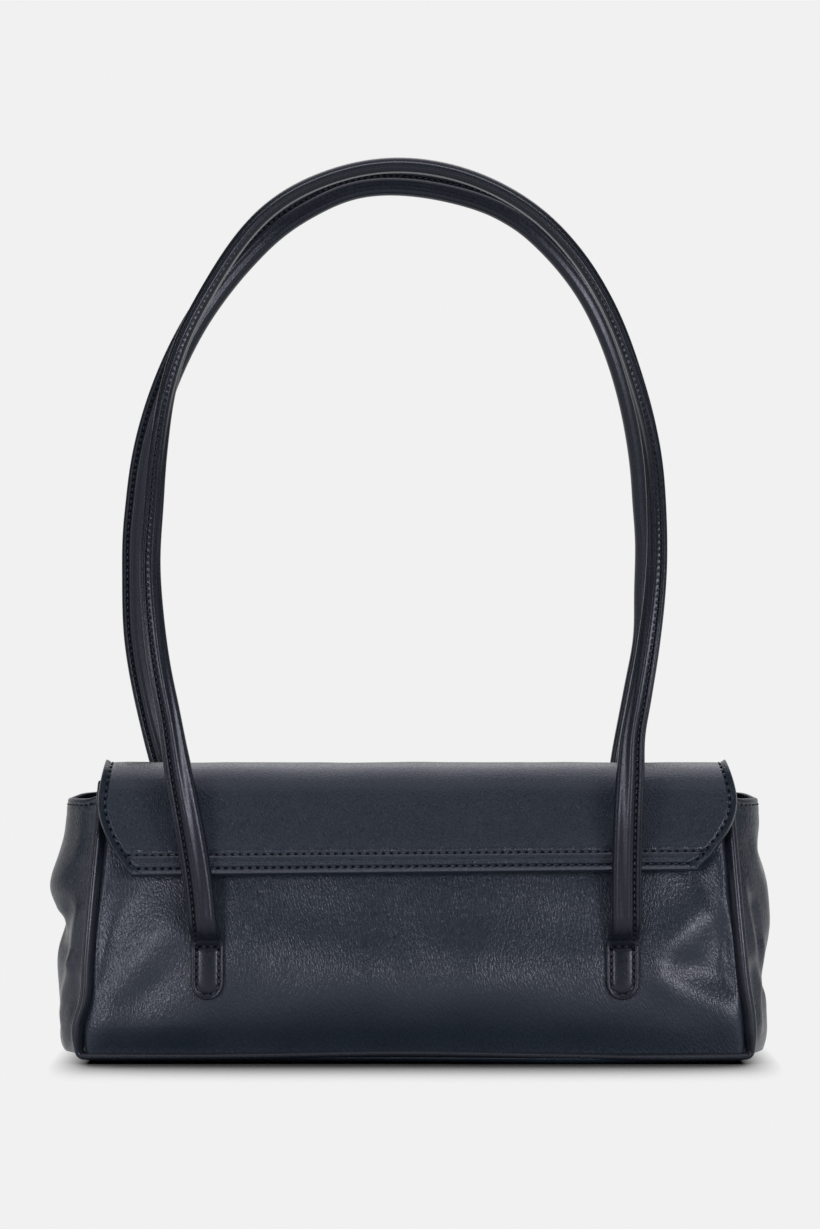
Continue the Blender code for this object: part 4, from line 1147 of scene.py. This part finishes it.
def flap_grid(inset, margin, run_end, columns, rows, rim):
    """Grid of flap points from the lower edge to a distance along the profile, at an inset.

    Near a side its columns follow that edge, and further in they are shares of the width. A
    sheet on the inner side has only the flap's slow waves, and lies nearer to the leather round
    the snap. Returns the points, and their columns' distances along the profile and from a side.
    """
    rim = margin + np.array(rim)
    runs = np.concatenate([rim, np.linspace(rim[-1], run_end, rows)[1:]])
    share = np.linspace(0, 1, columns)[1:]
    edges = np.concatenate([rim, rim[-1] + 0.125 * share])
    run = np.repeat(runs[:, None], len(edges), axis=1)
    edge = np.repeat(edges[None], len(runs), axis=0)
    halves = []
    for hand in (-1.0, 1.0):
        reach = flap_x(hand, rim[-1], run)
        x = flap_x(hand, edge, run)
        x[:, len(rim):] = reach[:, len(rim):] * (1 - share)
        near = edge.copy()
        near[:, len(rim):] = np.abs(reach - x)[:, len(rim):] + margin + rim[-1]
        if inset:
            pressed = smooth((0.018 - np.hypot(x, run - SNAP_RUN)) / 0.009)
            lift = flap_waves(x, run, edge) - inset * (1 - 0.17 * pressed)
        else:
            lift = flap_lift(x, run, near)
        halves.append(on_flap(x, run, lift)[0])
    mirrored = [np.concatenate([value, value[:, -2::-1]], axis=1) for value in (run, edge)]
    return np.concatenate([halves[0], halves[1][:, -2::-1]], axis=1), *mirrored


def make_flap():
    """The flap's leather with its sewn rear strip, its foam and its lining."""
    line, _, distance = flap_profile()
    points, run, edge = flap_grid(0, 0, distance[-1], 60, 46, FLAP_RIM)
    outside = 0.01 * (edge < SIDE_ROW - 0.0002)
    ends = 0.01 * ((run < LOWER_ROW) | (run > 0.088))
    fields = row_fields(((edge - SIDE_ROW + ends, run),
                         (run - LOWER_ROW + outside, points[..., 0]),
                         (run - UPPER_ROW + outside, points[..., 0])))
    made = sheet_object("flap_leather", points, (0, -1, 0), LEATHER, "flap_leather",
                        ("flap_outer", "flap_rear_strip"), body=None, fields=fields)
    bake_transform(made)
    lining_end = np.interp(0.024, line[40:100, 0], distance[40:100])
    points, _, _ = flap_grid(LEATHER + 2 * GAP + FLAP_STIFFENER, 0.0012, lining_end, 40, 44,
                             (0, 0.0004, 0.001, 0.002, 0.004))
    sheet_object("flap_lining_cloth", points, (0, -1, 0), LINING, "lining_cloth", ("flap_lining",),
                 body="flap")
    points, _, _ = flap_grid(LEATHER + GAP, 0.008, lining_end, 30, 34, (0, 0.001))
    sheet_object("flap_foam", points, (0, -1, 0), FLAP_STIFFENER, "foam_stiffener",
                 ("flap_stiffener",), body="flap", levels=0)


def bend_with_handle(made):
    """Bake the world place of a handle's piece into its points."""
    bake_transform(made)


def make_handles():
    """Both handles: leather rolled round its cord, with stitched flange and tabs in one piece."""
    for word, side in SIDES:
        points, _, _, fields = handle_points(word)
        made = tube_object(f"{word}_handle_leather", points, "handle_leather",
                           (f"{word}_handle_cover", f"{word}_handle_core",
                            f"{word}_left_handle_tab", f"{word}_right_handle_tab"), fields)
        bend_with_handle(made)


def make_linings():
    """Linings, mouth facings and the backing patches behind the tabs."""
    lining_top = FACING_BOTTOM - GAP
    for word, side in SIDES:
        outward = (0, side, 0)
        points = wall_points(side, LINING_FOOT, lining_top, LINING_INSET, columns=50, rows=24)
        sheet_object(f"{word}_lining_cloth", points, outward, LINING, "lining_cloth",
                     (f"{word}_lining",))
        points = wall_points(side, FACING_BOTTOM, PANEL_TOP, LINING_INSET, columns=50, rows=9,
                             closing=0.0009)
        sheet_object(f"{word}_facing_leather", points, outward, LINING, "facing_leather",
                     (f"{word}_mouth_facing",))
    for word, hand in HANDS:
        outward = (hand, 0, 0)
        points, _ = gusset_points(hand, LINING_FOOT, lining_top, LINING_INSET, columns=28, rows=34)
        sheet_object(f"{word}_gusset_lining_cloth", points, outward, LINING, "lining_cloth",
                     (f"{word}_gusset_lining",))
        points, _ = gusset_points(hand, FACING_BOTTOM, GUSSET_TOP, LINING_INSET, columns=28, rows=9,
                                  closing=0.0009)
        sheet_object(f"{word}_facing_leather", points, outward, LINING, "facing_leather",
                     (f"{word}_mouth_facing",))
    make_base_lining()
    make_patches()


def make_base_lining():
    """Base lining: a flat cloth that rises and falls softly by less than half a millimetre."""
    half_x = half_width(0) - LINING_INSET - LINING
    half_y = half_depth(0) - LINING_INSET - LINING
    x, y = np.meshgrid(np.linspace(-half_x, half_x, 60), np.linspace(-half_y, half_y, 18))
    ripple = 1 + np.sin(47 * x + 30 * y) * np.sin(90 * y - 25 * x)
    ripple = ripple - smooth(np.maximum(np.abs(x) / half_x, np.abs(y) / half_y) * 8 - 7)
    z = BASE_LINING_BOTTOM + LINING + 0.0002 * ripple
    sheet_object("base_lining_cloth", np.stack([x, y, z], axis=-1), (0, 0, 1), LINING,
                 "lining_cloth", ("base_lining",))


def make_patches():
    """Backing patches: thin felt rectangles that follow the wall behind each tab."""
    across, up = np.meshgrid(np.linspace(-1, 1, 9), np.linspace(0, 1, 12))
    for word, side in SIDES:
        for hand_word, hand in HANDS:
            x = hand * TAB_HALF_SPAN + across * (TAB_HALF_WIDTH + PATCH_MARGIN)
            z = TAB_BOTTOM + (TAB_TOP - TAB_BOTTOM) * up + PATCH_MARGIN * (2 * up - 1)
            depth = wall_depth(side, x / half_width(z), z) - LEATHER - GAP
            points = np.stack([x, side * depth, z], axis=-1)
            sheet_object(f"{word}_{hand_word}_patch_felt", points, (0, side, 0), PATCH,
                         "backing_felt", (f"{word}_{hand_word}_backing_patch",), levels=0)


def dress_node(node, look):
    """Give a carried-over solid its finish."""
    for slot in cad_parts[node].material_slots:
        slot.material = finish(look)


def make_snap():
    """Plated finish of the snap and its washers, and pressed fibre on the base board."""
    for node in ("snap_socket", "snap_stud", "snap_socket_washer", "snap_stud_washer"):
        dress_node(node, "snap_metal")
    dress_node("base_board", "base_board")


def flap_row(x, run, edge):
    """A stitch row on the flap's face: its path and normals."""
    return on_flap(x, run, flap_lift(x, run, edge))


def flap_rows():
    """Stitch rows of the flap: up both sides, and along both edges of the band."""
    line, _, distance = flap_profile()
    end = np.interp(FLAP_TOP - 0.0001, line[:45, 1], distance[:45]) + 0.034
    run = np.linspace(LOWER_ROW + 0.001, end, 160)
    rows = [flap_row(flap_x(hand, SIDE_ROW, run), run, SIDE_ROW) for hand in (-1.0, 1.0)]
    for height in (LOWER_ROW, UPPER_ROW):
        left, right = (flap_x(hand, SIDE_ROW, height) for hand in (-1.0, 1.0))
        x = np.linspace(left, right, 200)
        rows.append(flap_row(x, np.full_like(x, height), 0.02))
    return rows


def handle_rows(word):
    """Stitch rows of a handle: both faces of the flange, and round and across each tab."""
    side = dict(SIDES)[word]
    points, path, away, _ = handle_points(word)
    z = path[:, 2]
    ring = points.shape[1]
    free = np.flatnonzero(z > TAB_TOP + 0.001)
    rows = [(points[free, STITCH_COLUMN], away[free]),
            (points[free, ring - STITCH_COLUMN], -away[free])]
    low = np.flatnonzero(z <= TAB_TOP + 0.001)
    half = len(path) // 2
    radius = TAB_HALF_WIDTH - TAB_ROW
    round_z = TAB_BOTTOM + TAB_HALF_WIDTH
    turn = np.linspace(0, math.pi, 15)
    straight = np.linspace(TAB_TOP, round_z, 12)[:-1]
    beside = np.full(len(straight), radius)
    for group in (low[low < half], low[low >= half]):
        group = group[np.argsort(z[group])]
        middle = path[group[0], 0]
        x = middle + np.concatenate([beside, radius * np.cos(turn), -beside])
        height = np.concatenate([straight, round_z - radius * np.sin(turn), straight[::-1]])
        depth = np.interp(height, z[group], path[group, 1]) + side * tab_relief(TAB_ROW)
        loop = np.stack([x, depth, height], axis=-1)
        x = np.linspace(middle - radius, middle + radius, 15)
        bulge = tab_relief(TAB_HALF_WIDTH - np.abs(x - middle)) - 0.0006
        depth = np.interp(TAB_TOP, z[group], path[group, 1]) + side * bulge
        cross = np.stack([x, depth, np.full_like(x, TAB_TOP)], axis=-1)
        rows += [(row, np.tile((0.0, side, 0.0), (len(row), 1))) for row in (loop, cross)]
    return rows


def hem_row(hand):
    """Stitch row along a gusset's turned hem."""
    across = np.linspace(-0.96, 0.96, 80)
    reach, half, height = gusset_place(hand, across, np.full_like(across, GUSSET_TOP - HEM_ROW))
    reach = reach + HEM_HEIGHT - sizes().groove_depth
    path = np.stack([hand * reach, across * (half - SEAM_CLEARANCE), height], axis=-1)
    return path, np.tile((float(hand), 0.0, 0.0), (len(path), 1))


def strip_row():
    """Stitch row that sews the flap's rear strip to the rear wall."""
    line, _, distance = flap_profile()
    width = half_width(STRIP_BOTTOM) - SEAM_CLEARANCE - 0.003
    x = np.linspace(-width, width, 120)
    place = read_along(np.full_like(x, distance[-1] - STRIP_ROW), distance, line)
    return np.concatenate([x[:, None], place], axis=1), np.tile((0.0, 1.0, 0.0), (len(x), 1))


def make_stitches():
    """All the sewing: flap, rear strip, gusset hems, and handles with their tabs."""
    pitch = sizes().stitch_pitch
    made = stitch_object("flap_stitches", flap_rows(), pitch)
    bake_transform(made)
    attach(stitch_object("rear_strip_stitches", [strip_row()], pitch), "bag_body")
    for word, hand in HANDS:
        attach(stitch_object(f"{word}_gusset_stitches", [hem_row(hand)], pitch), "bag_body")
    for word, side in SIDES:
        made = stitch_object(f"{word}_handle_stitches", handle_rows(word), sizes().handle_pitch)
        bend_with_handle(made)


# Studio


def stage_object(name, points, rows, columns, material, facing, ring=False):
    """A floor or backdrop over a grid, with its first face turned towards a direction."""
    made = new_object(name, points, quads_of(rows, columns, ring).tolist(), material)
    if np.dot(made.data.polygons[0].normal, facing) < 0:
        made.data.flip_normals()


def make_ground():
    """Pale round floor, and a backdrop whose foot curves forwards, in one plain colour."""
    material = ground_material("ground", colours().ground)
    turn = np.arange(64) * math.pi / 32
    reach = np.array((0.0001, 0.3, 0.8, 2.0, 6.0, 30.0))[:, None]
    floor = np.stack([reach * np.cos(turn), reach * np.sin(turn), np.zeros((6, 64))], axis=-1)
    stage_object("studio_floor", floor, 6, 64, material, (0, 0, 1), ring=True)
    across, up = np.meshgrid(np.linspace(-12, 12, 9), np.array((0.001, 0.4, 1.2, 3.0, 8.0)))
    bend = 10.0 - 1.2 * (1 - np.clip(up / 1.2, 0, 1)) ** 2
    backdrop = np.stack([across, bend, up], axis=-1)
    stage_object("studio_backdrop", backdrop, 5, 9, material, (0, -1, 0))


def make_world():
    """Weak even light from all round, which the camera and clear pieces see as the plain ground."""
    world = bpy.data.worlds.new("studio_world")
    world.use_nodes = True
    bpy.context.scene.world = world
    tree = world.node_tree
    light = tree.nodes["Background"]
    light.inputs["Color"].default_value = (0.95, 0.97, 1.0, 1)
    light.inputs["Strength"].default_value = 0.12
    plain = add_node(tree, "ShaderNodeBackground",
                     {"Color": (*colours().ground, 1), "Strength": 1.0})
    path = add_node(tree, "ShaderNodeLightPath").outputs
    seen = maths(tree, 'MAXIMUM', path["Is Camera Ray"], path["Is Transmission Ray"])
    mixed(tree, seen, light, plain, "World Output")


def make_lamps():
    """Rectangular softboxes, each aimed at a point over the middle of the base."""
    for name, place, target, wide, high, power in SOFTBOXES:
        lamp = bpy.data.lights.new(f"{name}_softbox", 'AREA')
        lamp.shape = 'RECTANGLE'
        lamp.size, lamp.size_y, lamp.energy = wide, high, power
        lamp.color = (1.0, 0.98, 1.0)
        made = bpy.data.objects.new(f"{name}_softbox", lamp)
        made.location = place
        toward = Vector((0, 0, target)) - Vector(place)
        made.rotation_euler = toward.to_track_quat('-Z', 'Y').to_euler()
        made.visible_camera = False
        bpy.context.scene.collection.objects.link(made)


def make_camera():
    """Camera at the photograph's level view, and the plain view transform."""
    lens = bpy.data.cameras.new("studio_camera")
    lens.lens, lens.sensor_width, lens.sensor_fit = 170.3, 36.0, 'AUTO'
    camera = bpy.data.objects.new("studio_camera", lens)
    camera.location = (-0.0022, -2.545, 0.194)
    camera.rotation_euler = (math.pi / 2, 0, 0)
    bpy.context.scene.collection.objects.link(camera)
    bpy.context.scene.camera = camera
    bpy.context.scene.view_settings.view_transform = 'Standard'


# Operators, panel and running


class BAG_OT_walls(Operator):
    """Make the leather walls, gussets and base"""
    bl_idname = "bag.walls"
    bl_label = "Walls"

    def execute(self, context):
        make_walls()
        return {'FINISHED'}


class BAG_OT_pipings(Operator):
    """Make the piping of both sides"""
    bl_idname = "bag.pipings"
    bl_label = "Pipings"

    def execute(self, context):
        make_pipings()
        return {'FINISHED'}


class BAG_OT_flap(Operator):
    """Make the flap with its foam and lining"""
    bl_idname = "bag.flap"
    bl_label = "Flap"

    def execute(self, context):
        make_flap()
        return {'FINISHED'}


class BAG_OT_handles(Operator):
    """Make both rolled handles with their tabs"""
    bl_idname = "bag.handles"
    bl_label = "Handles"

    def execute(self, context):
        make_handles()
        return {'FINISHED'}


class BAG_OT_linings(Operator):
    """Make the linings, mouth facings and backing patches"""
    bl_idname = "bag.linings"
    bl_label = "Linings"

    def execute(self, context):
        make_linings()
        return {'FINISHED'}


class BAG_OT_snap(Operator):
    """Give the magnetic snap and the base board their finish"""
    bl_idname = "bag.snap"
    bl_label = "Snap and board"

    def execute(self, context):
        make_snap()
        return {'FINISHED'}


class BAG_OT_stitches(Operator):
    """Sew every stitch row"""
    bl_idname = "bag.stitches"
    bl_label = "Stitches"

    def execute(self, context):
        make_stitches()
        return {'FINISHED'}


class BAG_OT_studio(Operator):
    """Make the floor, lights, world and camera"""
    bl_idname = "bag.studio"
    bl_label = "Studio"

    def execute(self, context):
        make_ground()
        make_world()
        make_lamps()
        make_camera()
        return {'FINISHED'}


class BAG_PT_panel(Panel):
    """Sizes, colours and pieces of the bag"""
    bl_idname = "BAG_PT_panel"
    bl_label = "Soft Shoulder Bag"
    bl_space_type = 'VIEW_3D'
    bl_region_type = 'UI'
    bl_category = "Bag"

    def draw(self, context):
        layout = self.layout
        for group in (context.scene.bag_sizes, context.scene.bag_colours):
            column = layout.column(align=True)
            for key in group.__annotations__:
                column.prop(group, key)
        column = layout.column(align=True)
        for operator in OPERATORS:
            column.operator(operator.bl_idname)


OPERATORS = (BAG_OT_walls, BAG_OT_pipings, BAG_OT_flap, BAG_OT_handles, BAG_OT_linings, BAG_OT_snap,
             BAG_OT_stitches, BAG_OT_studio)
CLASSES = (BagSizes, BagColours) + OPERATORS + (BAG_PT_panel,)


def register():
    for made in CLASSES:
        bpy.utils.register_class(made)
    bpy.types.Scene.bag_sizes = PointerProperty(type=BagSizes)
    bpy.types.Scene.bag_colours = PointerProperty(type=BagColours)


def unregister():
    del bpy.types.Scene.bag_sizes
    del bpy.types.Scene.bag_colours
    for made in reversed(CLASSES):
        bpy.utils.unregister_class(made)


def main():
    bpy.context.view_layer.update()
    register()
    for step in (bpy.ops.bag.walls, bpy.ops.bag.pipings, bpy.ops.bag.flap, bpy.ops.bag.handles,
                 bpy.ops.bag.linings, bpy.ops.bag.snap, bpy.ops.bag.stitches, bpy.ops.bag.studio):
        step()


if __name__ == "__main__":
    main()
